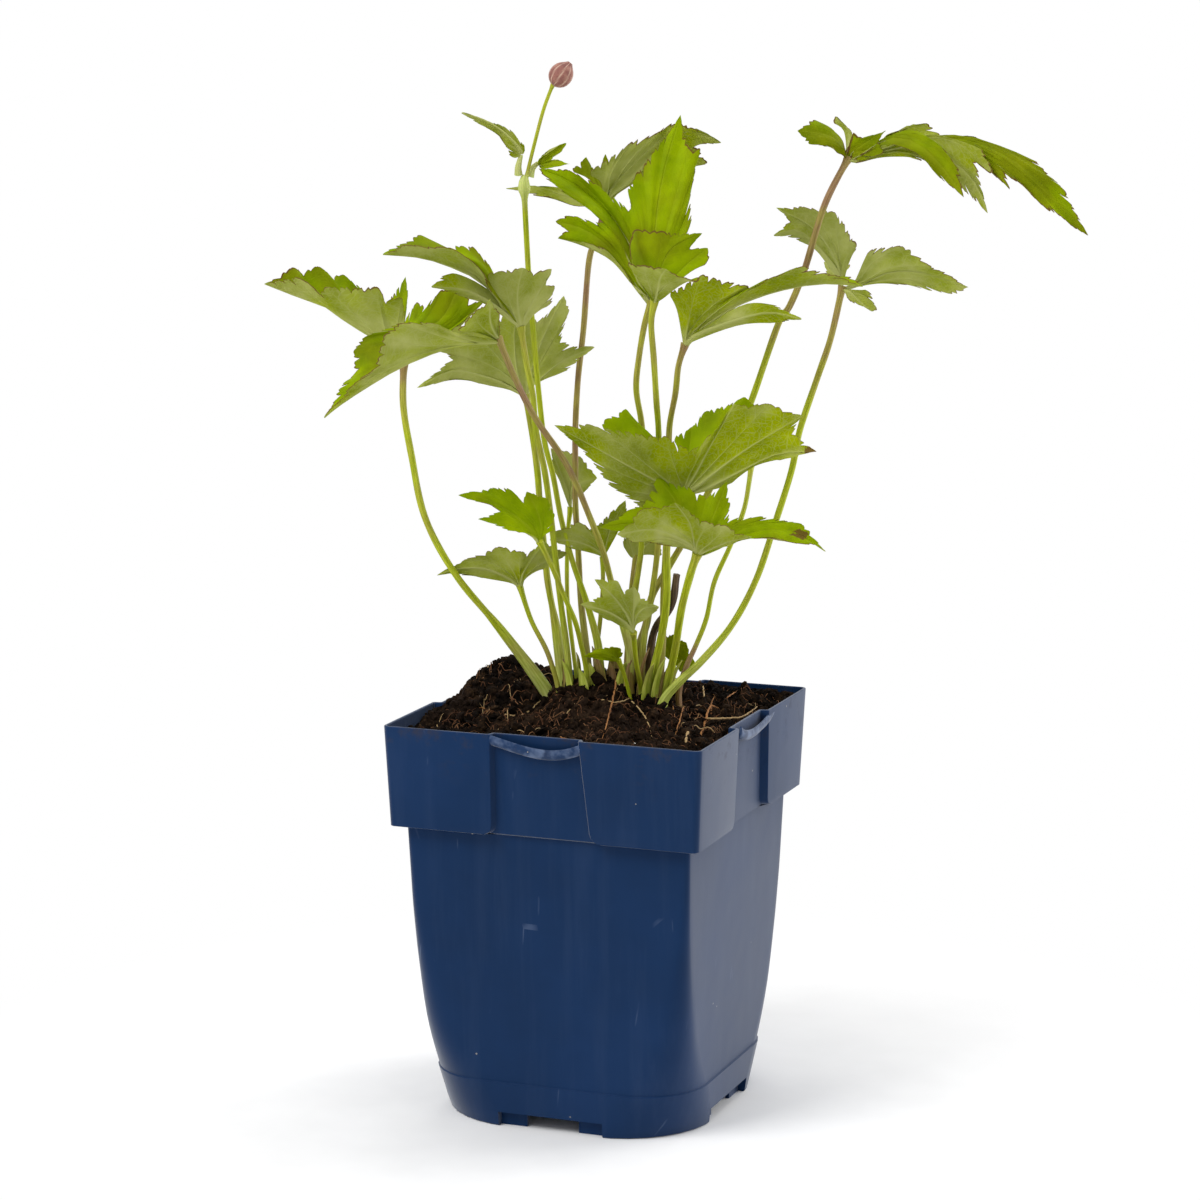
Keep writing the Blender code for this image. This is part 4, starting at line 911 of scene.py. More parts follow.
# Each blade's tones (how young its upper side and its underside are, how wide its brown rim is),
# its dry spots and its fans. A fan lists its ribs in order round the hub: T ends at a lobe's tip,
# L at a side lobe's, S at a notch, E at the fan's edge. The places along a rib follow in threes,
# measured from the hub.
BLADES = {
    "far_left": ((0.7, 0.4, 1.2), [], [
        ("u", ("E", 0, -4, 8, 1, -7, 19), ("L", -2, -4, 12, 0, -9, 26), ("S", -4, -4, 14,
         -6, -10, 26), ("L", -6, -4, 13, -9, -11, 30), ("S", -9, -4, 13, -17, -9, 23,
         -18, -10, 30), ("L", -11, -4, 14, -20, -8, 23, -27, -9, 30), ("S", -11, -3, 13,
         -21, -5, 20, -30, -7, 28), ("L", -11, -2, 12, -21, -3, 18, -30, -4, 25, -38, -5, 33),
         ("T", -7, 0, 9, -11, 0, 11, -21, 1, 17, -28, 1, 22, -37, 2, 25, -50, 2, 30),
         ("L", -11, 1, 12, -21, 3, 18, -31, 6, 24, -41, 8, 35), ("S", -11, 2, 12, -21, 6, 19,
         -34, 10, 28, -37, 12, 34), ("L", -11, 3, 12, -20, 8, 21, -32, 15, 35), ("S", -10, 3, 12,
         -18, 9, 21, -27, 15, 32), ("L", -9, 3, 12, -16, 12, 23, -22, 16, 32), ("E", -5, 2, 11,
         -11, 10, 22, -16, 14, 26)),
        ("n", ("E", -1, 2, 10, 0, 8, 16), ("L", 1, 4, 13, 3, 10, 17, 4, 16, 22), ("S", 2, 4, 13,
         5, 12, 17, 8, 16, 21), ("L", 4, 5, 12, 9, 14, 18, 13, 20, 26), ("T", 6, 6, 11, 14, 16, 17,
         19, 22, 27), ("L", 7, 6, 11, 16, 16, 15, 23, 21, 25), ("S", 8, 6, 10, 17, 16, 14,
         24, 19, 22), ("L", 8, 6, 9, 18, 15, 12, 28, 18, 22), ("E", 8, 4, 9, 19, 12, 12)),
        ("n", ("E", -2, 8, 13, -6, 15, 23), ("T", -1, 10, 16, -1, 16, 23, 0, 22, 31),
         ("E", 0, 8, 14, 1, 15, 19)),
    ]),
    "near_left": ((0.6, 0.3, 0.8), [((-48, -6, -8), 2.2)], [
        ("u", ("E", -3, -4, 1, -16, -10, 4), ("L", -10, -8, 1, -24, -16, 8), ("L", -13, -10, 1,
         -25, -16, 5, -34, -20, 8), ("L", -15, -9, 0, -27, -14, 0, -39, -20, 4), ("S", -17, -8, 0,
         -30, -14, -2, -43, -20, -7), ("L", -17, -7, -1, -32, -12, -5, -52, -19, -15),
         ("S", -17, -6, -2, -34, -11, -7, -57, -18, -21), ("T", -10, -4, 0, -22, -6, -3,
         -34, -9, -8, -46, -12, -15, -55, -14, -21, -60, -16, -25), ("S", -17, -4, -1, -34, -5, -7,
         -57, -11, -19), ("L", -17, -4, -1, -34, -2, -5, -54, -5, -14), ("S", -17, -3, 0,
         -35, 0, -2, -51, 0, -11), ("L", -17, -2, 0, -35, 4, 0, -51, 4, -4), ("L", -16, -1, 0,
         -31, 6, 2, -48, 8, 0), ("E", -10, 0, 1, -24, 4, 5, -35, 8, 6)),
        ("a", ("E", -7, -4, 3, -15, -12, 5), ("L", -7, -8, 7, -7, -14, 12), ("T", -3, -6, 7,
         -3, -12, 16), ("L", -1, -4, 6, 0, -8, 10), ("E", 0, -2, 2, 1, -4, 3)),
    ]),
    "upper_left": ((0.5, 0.5, 0.7), [], [
        ("u", ("E", -6, -8, 9, -11, -16, 17), ("L", -6, -8, 10, -13, -17, 21, -17, -22, 27),
         ("L", -6, -7, 10, -14, -14, 21, -24, -20, 29, -28, -21, 31), ("L", -7, -6, 10,
         -16, -12, 21, -28, -17, 27, -41, -18, 31), ("T", -6, -5, 10, -15, -11, 19, -25, -14, 24,
         -35, -15, 27, -48, -14, 28), ("L", -7, -2, 10, -16, -6, 21, -28, -7, 28, -42, -8, 31),
         ("L", -7, -1, 11, -15, -3, 22, -25, -2, 28, -36, 0, 33), ("S", -7, -1, 11, -14, -2, 23,
         -23, 0, 27, -29, 2, 29), ("L", -6, 1, 10, -12, 2, 21, -17, 5, 29), ("E", -5, 2, 10,
         -9, 3, 17, -11, 5, 21)),
        ("a", ("E", -5, -4, 4, -13, -10, 11), ("T", -6, -5, 7, -18, -14, 15, -31, -20, 17),
         ("E", -6, -5, 10, -14, -10, 17, -22, -14, 21, -27, -16, 21)),
        ("a", ("E", -5, -4, 6, -8, -10, 11, -12, -14, 22), ("L", -3, -4, 7, -5, -10, 15,
         -7, -14, 22), ("T", -1, -3, 7, -1, -9, 15, 1, -13, 23), ("S", 1, -2, 6, 3, -7, 15,
         5, -10, 22), ("T", 1, -1, 5, 7, -6, 15, 11, -9, 22), ("S", 2, -1, 5, 7, -5, 12,
         9, -7, 17), ("L", 3, 0, 4, 9, -4, 11, 12, -6, 16), ("E", 2, 1, 3, 7, -1, 7, 11, -3, 9)),
    ]),
    "behind_left": ((0.5, 0.05, 0.1), [], [
        ("a", ("E", -6, -2, 3, -14, -5, 5, -23, -8, 8), ("T", -6, -3, 5, -16, -7, 9, -27, -10, 11,
         -39, -13, 5), ("S", -8, -4, 7, -18, -8, 13, -28, -10, 15), ("L", -7, -4, 9, -18, -9, 15,
         -32, -13, 19), ("L", -7, -6, 12, -16, -11, 22, -25, -15, 27), ("S", -5, -5, 10,
         -9, -9, 22, -13, -12, 29), ("T", -3, -5, 10, -4, -9, 24, -2, -13, 35), ("S", 0, -5, 10,
         2, -8, 22, 5, -10, 30), ("T", 2, -5, 10, 7, -9, 24, 14, -12, 38), ("L", 3, -5, 9,
         10, -8, 22, 16, -11, 33), ("S", 3, -5, 8, 10, -8, 18, 14, -9, 22), ("T", 4, -4, 6,
         13, -6, 14, 25, -8, 19), ("E", 2, -3, 4, 7, -4, 7, 15, -6, 10)),
    ]),
    "tall_centre": ((0.75, 0.6, 1.3), [], [
        ("n", ("E", -4, -1, 4, -10, 0, 13, -16, 1, 20), ("L", -4, -1, 5, -13, 1, 15, -24, 3, 22),
         ("T", -4, -1, 5, -14, 2, 16, -25, 4, 21, -33, 5, 23), ("S", -4, 0, 5, -14, 2, 18,
         -31, 6, 26), ("T", -4, 0, 6, -13, 2, 18, -23, 5, 26, -34, 8, 29), ("L", -4, 0, 6,
         -14, 2, 21, -25, 5, 29, -30, 7, 31), ("S", -4, -1, 8, -12, 0, 24, -17, 3, 30),
         ("L", -4, -1, 8, -14, 1, 28, -25, 6, 37, -36, 12, 43), ("T", -3, 0, 9, -9, 5, 24,
         -18, 10, 35, -29, 14, 43, -40, 17, 47), ("L", -3, 0, 10, -12, 7, 29, -22, 12, 40,
         -30, 15, 47), ("L", -2, 0, 10, -10, 6, 30, -19, 11, 42), ("S", -2, 0, 10, -6, 4, 26,
         -8, 8, 34), ("L", -1, 0, 12, -4, 6, 30, -8, 10, 40), ("L", -1, 0, 12, -2, 6, 31,
         -5, 12, 46), ("T", 1, 0, 12, 2, 6, 30, 5, 12, 47, 11, 20, 66), ("L", 2, 0, 12, 7, 6, 31,
         14, 14, 55), ("L", 2, 0, 11, 9, 5, 30, 18, 13, 54), ("S", 3, 0, 10, 9, 4, 24, 15, 10, 42),
         ("E", 3, 0, 9, 11, 3, 21, 15, 6, 29)),
    ]),
    "centre_front": ((0.65, 0.6, 1.0), [], [
        ("n", ("E", -3, -5, 5, -8, -6, 15, -9, -6, 23), ("L", -1, -3, 7, -5, 0, 19, -6, 3, 26),
         ("L", 0, -2, 8, 2, 2, 19, 3, 5, 25), ("T", 1, -2, 8, 6, 3, 19, 17, 7, 24), ("S", 3, -2, 7,
         9, 2, 15, 14, 5, 20), ("T", 4, -2, 6, 11, 2, 13, 19, 6, 19), ("E", 4, -2, 4, 13, 1, 11,
         20, 4, 14)),
        ("a", ("E", -1, -6, 3, -6, -12, 10, -10, -18, 17), ("L", -1, -7, 5, -3, -14, 11,
         -4, -19, 15), ("T", 1, -7, 5, 2, -14, 11, 4, -18, 14), ("L", 2, -6, 5, 7, -12, 9,
         14, -17, 9), ("E", 3, -4, 2, 9, -8, 7, 16, -10, 11)),
    ]),
    "tall_back": ((0.2, 0.65, 1.4), [], [
        ("a", ("E", -1, -2, 5, -2, -4, 9, -7, -5, 12), ("L", 1, -2, 6, 2, -6, 12, 9, -8, 23),
         ("L", 2, -2, 6, 9, -6, 17, 19, -7, 27), ("L", 2, -2, 6, 12, -5, 17, 27, -5, 30),
         ("T", 2, -1, 4, 10, -3, 10, 18, -4, 19, 31, -3, 28, 42, -2, 23), ("S", 3, 0, 4, 16, 2, 14,
         34, 3, 21), ("L", 3, 0, 3, 16, 3, 13, 37, 5, 15), ("E", 3, 0, 3, 13, 2, 9, 27, 4, 13)),
        ("a", ("E", -2, 1, 2, -11, 2, 7), ("T", -4, 0, 1, -17, -1, 4, -26, -2, 7, -36, -4, 6),
         ("E", -3, -1, 0, -11, -3, 0, -20, -4, 3)),
        ("n", ("E", -2, 1, 3, -6, 5, 9, -13, 7, 12), ("T", -2, 2, 4, -5, 6, 11, -7, 9, 17),
         ("S", -1, 2, 4, -3, 6, 9, -3, 7, 12), ("T", -1, 2, 4, -1, 6, 11, 0, 9, 18), ("E", 1, 2, 4,
         2, 5, 9, 3, 7, 13)),
    ]),
    "centre_right": ((0.5, 0.6, 0.8), [], [
        ("a", ("E", -1, -2, 5, -3, -4, 14, -6, -6, 20), ("L", 1, -4, 7, 3, -10, 18, 6, -14, 27),
         ("S", 2, -4, 8, 9, -9, 18, 14, -12, 25), ("L", 3, -4, 8, 11, -9, 17, 22, -11, 23),
         ("S", 3, -4, 7, 12, -8, 16, 24, -9, 22), ("L", 6, -5, 9, 18, -11, 19, 28, -15, 25),
         ("L", 6, -5, 9, 21, -12, 21, 42, -16, 30), ("T", 7, -5, 8, 20, -9, 17, 35, -11, 22,
         49, -10, 24, 63, -8, 23), ("L", 7, -4, 8, 21, -5, 17, 41, -3, 24, 57, -2, 25),
         ("E", 6, -2, 6, 18, 0, 14, 38, 2, 22)),
        ("a", ("E", 4, -4, 6, 20, -10, 16, 31, -14, 17), ("T", 4, -5, 5, 18, -11, 11, 30, -15, 14,
         41, -18, 12), ("E", 4, -4, 3, 20, -10, 9, 34, -14, 10)),
    ]),
    "top_right": ((0.1, 0.5, 1.6), [], [
        ("n", ("E", -2, -4, 2, -4, -6, 3, -6, -7, 6), ("L", -2, -4, 4, -7, -7, 7, -14, -9, 6),
         ("T", -2, -3, 5, -7, -5, 9, -18, -7, 11), ("L", -2, -2, 5, -6, -2, 11, -12, -1, 14),
         ("E", -1, -1, 4, -2, 0, 7, -5, 1, 11)),
        ("a", ("E", 0, 2, 3, 2, 4, 7, 2, 5, 10), ("T", 0, 3, 3, 1, 6, 10, -4, 8, 15),
         ("E", 0, 4, 3, -1, 7, 10, -5, 8, 13)),
        ("n", ("E", 0, 0, 3, 1, -2, 7, 2, -4, 10), ("S", 2, -1, 4, 4, -4, 7, 6, -6, 8),
         ("T", 2, -1, 3, 7, -5, 7, 13, -8, 11), ("S", 2, -1, 3, 7, -4, 4, 11, -7, 7),
         ("L", 2, -1, 2, 6, -4, 3, 12, -7, 3), ("E", 1, -1, 1, 4, -3, 0, 7, -5, 0)),
        ("a", ("E", 3, -2, -1, 11, -4, 1, 23, -6, 2), ("L", 5, -2, 0, 17, -5, 3, 27, -7, 1,
         32, -8, -3), ("T", 7, -2, 1, 24, -5, 5, 38, -8, -1, 45, -11, -8, 49, -13, -18),
         ("S", 9, -2, 2, 25, -5, 6, 38, -8, 3, 46, -10, -2), ("L", 10, -2, 3, 27, -4, 8, 39, -7, 6,
         51, -10, -4), ("L", 11, -2, 3, 27, -4, 9, 39, -6, 7, 47, -8, 4), ("S", 10, -2, 3,
         27, -3, 9, 36, -4, 7), ("L", 10, -1, 4, 20, -1, 11, 28, -1, 13), ("E", 9, -1, 4,
         13, -1, 8, 16, -2, 9)),
        ("n", ("E", 4, -4, 2, 13, -7, 6, 19, -11, 5, 25, -14, 2, 31, -16, -5), ("T", 5, -4, 3,
         14, -7, 8, 23, -12, 7, 32, -16, -1, 40, -18, -12), ("L", 6, -4, 3, 15, -7, 9, 24, -11, 8,
         32, -15, 4, 38, -17, -2), ("E", 6, -3, 4, 15, -6, 9, 23, -8, 11, 30, -12, 7)),
        ("n", ("E", 5, 2, 1, 21, 4, 4, 37, 0, 5, 45, -4, 1, 50, -7, -2), ("L", 6, 2, 1, 23, 4, 5,
         38, -1, 5, 49, -5, -1, 57, -10, -10), ("S", 6, 2, 2, 23, 4, 5, 39, -1, 5, 50, -6, 0,
         57, -9, -5), ("L", 7, 2, 2, 24, 4, 6, 40, -1, 6, 55, -7, -1, 71, -12, -17), ("T", 7, 2, 2,
         25, 4, 6, 41, -1, 7, 54, -6, 2, 68, -9, -9, 85, -10, -26), ("L", 7, 2, 3, 25, 4, 7,
         42, 0, 7, 57, -4, 2, 71, -7, -7, 77, -8, -11), ("L", 8, 2, 3, 25, 4, 7, 42, 1, 8,
         56, -1, 4, 67, -2, -1), ("S", 8, 3, 3, 26, 5, 7, 42, 2, 8, 59, -1, -1), ("L", 8, 3, 3,
         25, 6, 7, 37, 4, 8, 46, 3, 8), ("E", 8, 4, 3, 23, 6, 7, 35, 4, 7, 39, 3, 7)),
    ]),
    "far_right": ((0.4, 0.15, 0.7), [], [
        ("a", ("E", -2, -3, 4, -7, -7, 12, -12, -10, 18), ("T", -2, -4, 7, -11, -11, 18,
         -18, -15, 23, -26, -18, 21), ("S", -3, -5, 10, -12, -13, 23, -21, -16, 26),
         ("T", -2, -5, 10, -11, -13, 23, -25, -18, 31), ("L", -1, -5, 10, -8, -13, 24,
         -16, -17, 31), ("L", -1, -5, 10, -3, -12, 22, -4, -15, 29), ("L", 0, -5, 9, 3, -9, 16,
         4, -11, 18), ("E", 1, -3, 5, 2, -6, 10, 4, -8, 14)),
        ("a", ("E", 4, -2, 2, 7, -7, 10, 9, -11, 15), ("L", 6, -2, 4, 11, -8, 11, 20, -13, 17),
         ("L", 7, -2, 3, 17, -8, 9, 31, -13, 10), ("T", 7, -1, 2, 17, -5, 7, 29, -8, 7,
         45, -11, 2), ("L", 7, -1, 2, 17, -4, 4, 28, -6, 4, 39, -9, -1), ("E", 6, 0, 1, 11, -1, 2,
         17, -2, 3)),
        ("a", ("E", 1, -3, -1, 2, -7, -3), ("T", 3, -4, -1, 5, -8, -3, 10, -13, -7),
         ("L", 4, -4, -1, 8, -8, -2, 12, -12, -6), ("E", 5, -3, 0, 10, -6, 0)),
        ("a", ("E", -1, 2, 2, -5, 6, 4), ("T", -1, 3, 3, -3, 6, 6, -6, 9, 9), ("E", 1, 3, 3,
         2, 7, 6, 5, 9, 8)),
    ]),
    "middle_big": ((0.9, 0.95, 0.2), [((45, -15, 18), 3.5), ((42, -15, 25), 1.2)], [
        ("a", ("E", -7, -3, -2, -12, -6, -4, -16, -8, -4), ("L", -7, -4, 0, -18, -9, 2,
         -27, -12, 5), ("L", -7, -4, 2, -21, -11, 8, -35, -16, 16), ("T", -6, -4, 3, -19, -11, 11,
         -34, -16, 20, -46, -19, 27), ("L", -5, -4, 4, -16, -11, 14, -26, -15, 22, -34, -17, 27),
         ("S", -3, -4, 5, -11, -10, 15, -14, -13, 23), ("L", -2, -4, 6, -5, -9, 15, -7, -12, 22),
         ("S", 0, -4, 6, 0, -8, 12, 2, -10, 18), ("L", 1, -4, 6, 5, -9, 15, 8, -12, 22),
         ("T", 3, -4, 6, 9, -10, 19, 17, -16, 34), ("L", 4, -4, 5, 16, -10, 19, 29, -16, 34),
         ("T", 5, -4, 4, 21, -10, 17, 41, -16, 30), ("S", 6, -3, 3, 21, -9, 13, 39, -14, 24),
         ("T", 7, -3, 2, 21, -8, 10, 33, -12, 16, 46, -15, 17), ("E", 7, -2, 1, 16, -5, 4,
         23, -8, 10, 33, -11, 14)),
        ("n", ("E", -3, 4, 4, -16, 9, 14, -30, 12, 22), ("L", -3, 4, 4, -17, 11, 17, -28, 14, 25),
         ("T", -3, 4, 5, -13, 11, 18, -21, 16, 28), ("L", -2, 4, 4, -10, 11, 18, -17, 16, 23),
         ("E", -1, 4, 4, -8, 11, 15, -14, 15, 20)),
        ("n", ("E", 0, 4, 4, -2, 10, 14, -4, 13, 18), ("T", 1, 4, 5, 2, 11, 14, 3, 16, 22),
         ("L", 2, 4, 5, 6, 11, 16, 8, 17, 27), ("T", 3, 4, 4, 10, 10, 18, 22, 12, 33),
         ("E", 4, 4, 4, 17, 10, 15, 27, 12, 29)),
    ]),
    "middle_front": ((1.0, 0.5, 0.2), [((36, -2, 7), 3.0)], [
        ("a", ("E", -2, -2, 2, -6, -6, 4, -12, -10, 6), ("L", -3, -3, 4, -13, -9, 8, -23, -14, 7),
         ("T", -3, -3, 5, -15, -10, 11, -28, -16, 10), ("L", -2, -4, 6, -11, -10, 13,
         -20, -14, 18), ("T", -1, -4, 6, -3, -10, 14, -8, -15, 21), ("L", 0, -4, 5, 2, -8, 10,
         3, -11, 14), ("L", 2, -3, 3, 6, -7, 7, 10, -10, 12), ("T", 3, -2, 2, 11, -6, 6,
         19, -9, 8), ("E", 2, -1, 1, 7, -4, 3, 12, -6, 5)),
        ("n", ("E", -2, 2, 3, -11, 6, 12, -20, 9, 15), ("T", -2, 2, 5, -7, 9, 17, -14, 14, 26),
         ("S", -1, 2, 5, -2, 9, 15, -3, 14, 22), ("S", 1, 2, 5, 2, 8, 13, 4, 12, 20),
         ("T", 2, 2, 4, 7, 9, 15, 11, 14, 24), ("L", 3, 2, 3, 8, 7, 11, 12, 10, 17), ("E", 3, 1, 2,
         9, 4, 8, 12, 6, 11)),
        ("n", ("E", 3, 1, 2, 9, 3, 9, 13, 5, 13), ("L", 5, 1, 2, 14, 3, 10, 23, 4, 13),
         ("L", 6, 1, 3, 19, 2, 10, 37, 0, 11), ("T", 6, 0, 2, 19, 1, 8, 33, -1, 9, 45, -4, 2),
         ("L", 5, -1, 2, 19, -2, 7, 29, -4, 7, 39, -6, 5), ("E", 4, -1, 1, 15, -3, 6, 24, -5, 7)),
        ("n", ("E", -2, 0, 3, -16, 0, 9, -28, -2, 9), ("T", -3, 1, 4, -18, 2, 11, -34, -2, 10),
         ("L", -2, 2, 4, -15, 4, 13, -25, 4, 15), ("E", -2, 2, 5, -13, 6, 13, -20, 8, 16)),
    ]),
    "low_left_bright": ((0.9, 0.5, 0.1), [], [
        ("n", ("E", -2, -1, 3, -7, -3, 5, -10, -4, 5), ("T", -4, -1, 4, -13, -4, 8, -22, -6, 10),
         ("S", -4, 0, 4, -11, -2, 10, -16, -3, 13), ("T", -4, 1, 6, -13, 0, 13, -21, -1, 17,
         -29, -2, 18), ("L", -3, 2, 7, -11, 2, 15, -17, 3, 20), ("L", -2, 2, 7, -7, 3, 14,
         -12, 5, 19), ("S", -1, 2, 7, -5, 3, 13, -7, 5, 16), ("T", 0, 2, 7, -2, 4, 13, -5, 7, 18),
         ("L", 1, 2, 6, 1, 4, 12, 2, 7, 15), ("L", 1, 1, 5, 3, 3, 8, 5, 5, 10), ("E", 1, 0, 3,
         3, 1, 4, 4, 2, 4)),
    ]),
    "low_left": ((0.6, 0.95, 0.2), [], [
        ("a", ("E", -3, -1, 2, -12, -3, 4, -18, -4, 6), ("T", -4, -2, 4, -13, -4, 8, -23, -6, 8,
         -30, -8, 6), ("L", -3, -2, 5, -11, -3, 10, -20, -4, 11), ("L", -2, -3, 6, -5, -5, 11,
         -8, -7, 16), ("L", 0, -3, 6, 0, -6, 11, 1, -8, 15), ("S", 0, -3, 6, 2, -5, 10, 3, -6, 14),
         ("T", 1, -3, 6, 4, -4, 11, 9, -6, 18), ("L", 2, -2, 5, 7, -2, 9, 17, -3, 13),
         ("E", 1, -1, 3, 5, -1, 6, 12, -1, 9)),
    ]),
    "small_front": ((0.5, 0.3, 0.0), [], [
        ("a", ("E", -2, -2, 2, -7, -4, 5, -10, -6, 7), ("T", -3, -3, 5, -10, -7, 10, -19, -11, 13),
         ("S", -3, -3, 7, -8, -6, 12, -12, -9, 16), ("T", -2, -3, 7, -7, -7, 15, -14, -11, 22),
         ("L", -1, -3, 8, -4, -6, 14, -6, -9, 21), ("S", -1, -3, 8, -2, -6, 14, -4, -8, 18),
         ("T", 0, -3, 8, 0, -6, 14, 0, -9, 19), ("S", 0, -3, 8, 1, -6, 12, 3, -8, 15),
         ("T", 1, -3, 7, 4, -6, 11, 9, -9, 12), ("E", 1, -2, 4, 4, -4, 6, 8, -6, 9)),
    ]),
    "inner_left": ((0.6, 0.7, 0.1), [], [
        ("a", ("E", -1, -2, 2, -6, -5, 4, -11, -7, 5), ("T", -2, -2, 4, -10, -6, 8, -19, -9, 9),
         ("L", -2, -2, 5, -9, -5, 10, -17, -7, 12), ("L", -1, -2, 6, -5, -5, 11, -9, -7, 15),
         ("S", 0, -2, 6, -2, -4, 11, -4, -5, 13), ("T", 1, -1, 6, 3, 0, 13, 8, 1, 22),
         ("E", 2, -1, 4, 6, 1, 11, 9, 2, 17)),
    ]),
    "inner_upper": ((0.5, 0.5, 0.1), [], [
        ("a", ("E", -2, -2, 6, -4, -4, 12, -6, -5, 16), ("T", -1, -2, 8, -4, -5, 16, -7, -8, 24),
         ("L", 0, -2, 9, -1, -5, 16, -1, -7, 23), ("L", 0, -2, 9, 1, -5, 15, 4, -7, 21),
         ("T", 1, -2, 8, 5, -4, 11, 10, -6, 13), ("E", 1, -1, 5, 4, -2, 6, 6, -3, 8)),
    ]),
    "inner_back": ((0.6, 0.7, 0.1), [], [
        ("a", ("E", -2, -1, 1, -5, -3, 6), ("T", -1, -1, 3, -3, -3, 9, -3, -5, 14), ("S", 0, -1, 3,
         1, -3, 8, 2, -4, 11), ("T", 1, 0, 2, 5, 0, 6, 10, 0, 7), ("E", 2, 1, 1, 6, 2, 1,
         10, 3, 0)),
    ]),
    "back_right": ((0.6, 0.5, 0.1), [], [
        ("a", ("E", -2, 0, 2, -10, 2, 5), ("T", -1, 0, 4, -6, 4, 13), ("S", 0, 0, 4, -2, 3, 10),
         ("T", 0, 0, 4, 2, 5, 14), ("E", 2, 0, 2, 7, 3, 6)),
    ]),
    "crown_bright": ((1.0, 0.6, 0.0), [], [
        ("n", ("E", -3, -3, 1, -7, -6, 2), ("T", -3, -4, 2, -8, -7, 4, -13, -10, 4),
         ("L", -2, -3, 3, -5, -5, 5, -8, -6, 6), ("L", -1, -2, 3, -1, -3, 5, 0, -4, 6),
         ("E", 0, -1, 2, 2, -2, 3)),
    ]),
    "crown_green": ((0.3, 0.4, 0.1), [], [
        ("n", ("E", -2, 0, 1, -5, -1, 4), ("T", -2, 0, 4, -4, 0, 9), ("L", 0, 0, 4, 0, 0, 10),
         ("T", 2, 0, 3, 5, 0, 7), ("T", 2, -1, 1, 8, -4, 0), ("E", 1, -2, -1, 3, -5, -4)),
    ]),
}


def rib_curve(knots):
    """A rib's curve from the hub outwards, evenly spaced, and its length."""
    fine = smooth_path(knots, 3 * RIB_STEPS)
    walked = walked_along(fine)
    even = np.linspace(0.0, walked[-1], RIB_STEPS + 1)
    return np.stack([np.interp(even, walked, fine[:, c]) for c in range(3)], axis=-1), walked[-1]


def tooth_profile(run, total, size, draw):
    """How far the margin is cut back along a run that ends at a lobe's tip, in millimetres."""
    count = max(1, round(total / (LOBE_SPACING * size)))
    edges = np.linspace(0.0, total, count + 1)
    edges[1:-1] += np.array([draw.uniform(-0.18, 0.18) for _ in range(count - 1)]) * total / count
    cut = np.zeros(len(run))
    for k in range(count):
        inside = (run >= edges[k]) & (run <= edges[k + 1])
        share = (run[inside] - edges[k]) / (edges[k + 1] - edges[k])
        deep = LOBE_DEPTH * size * draw.uniform(0.5, 1.25) * (0.4 if k == 0 else 1.0)
        full = np.maximum(np.sin(math.pi * share ** 1.25), 0.0) ** 0.75
        full = np.where(share > 0.57, 1.0, full) if k == count - 1 else full
        small = 2 if edges[k + 1] - edges[k] > 2.6 * size else 1
        part = (share * small) % 1.0
        fine = np.where(part < 0.8, (part / 0.8) ** 0.6, ((1.0 - part) / 0.2) ** 0.5)
        fine = np.where(share > 0.999, 1.0, fine)
        cut[inside] = deep * (1 - full) + TOOTH_DEPTH * size * (1 - fine) * draw.uniform(0.75, 1.2)
    return cut


def between_ribs(values, kinds, segments, shares):
    """Smooth values across the ribs, broken at each lobe's tip, where the sheet is creased."""
    done = []
    for column, (i, t) in enumerate(zip(segments, shares)):
        b, c = values[i][column], values[i + 1][column]
        a = values[i - 1][column] if i > 0 and kinds[i] != "T" else 2 * b - c
        d = values[i + 2][column] if i + 2 < len(values) and kinds[i + 1] != "T" else 2 * c - b
        done.append(catmull_rom(a, b, c, d, t))
    return np.array(done)


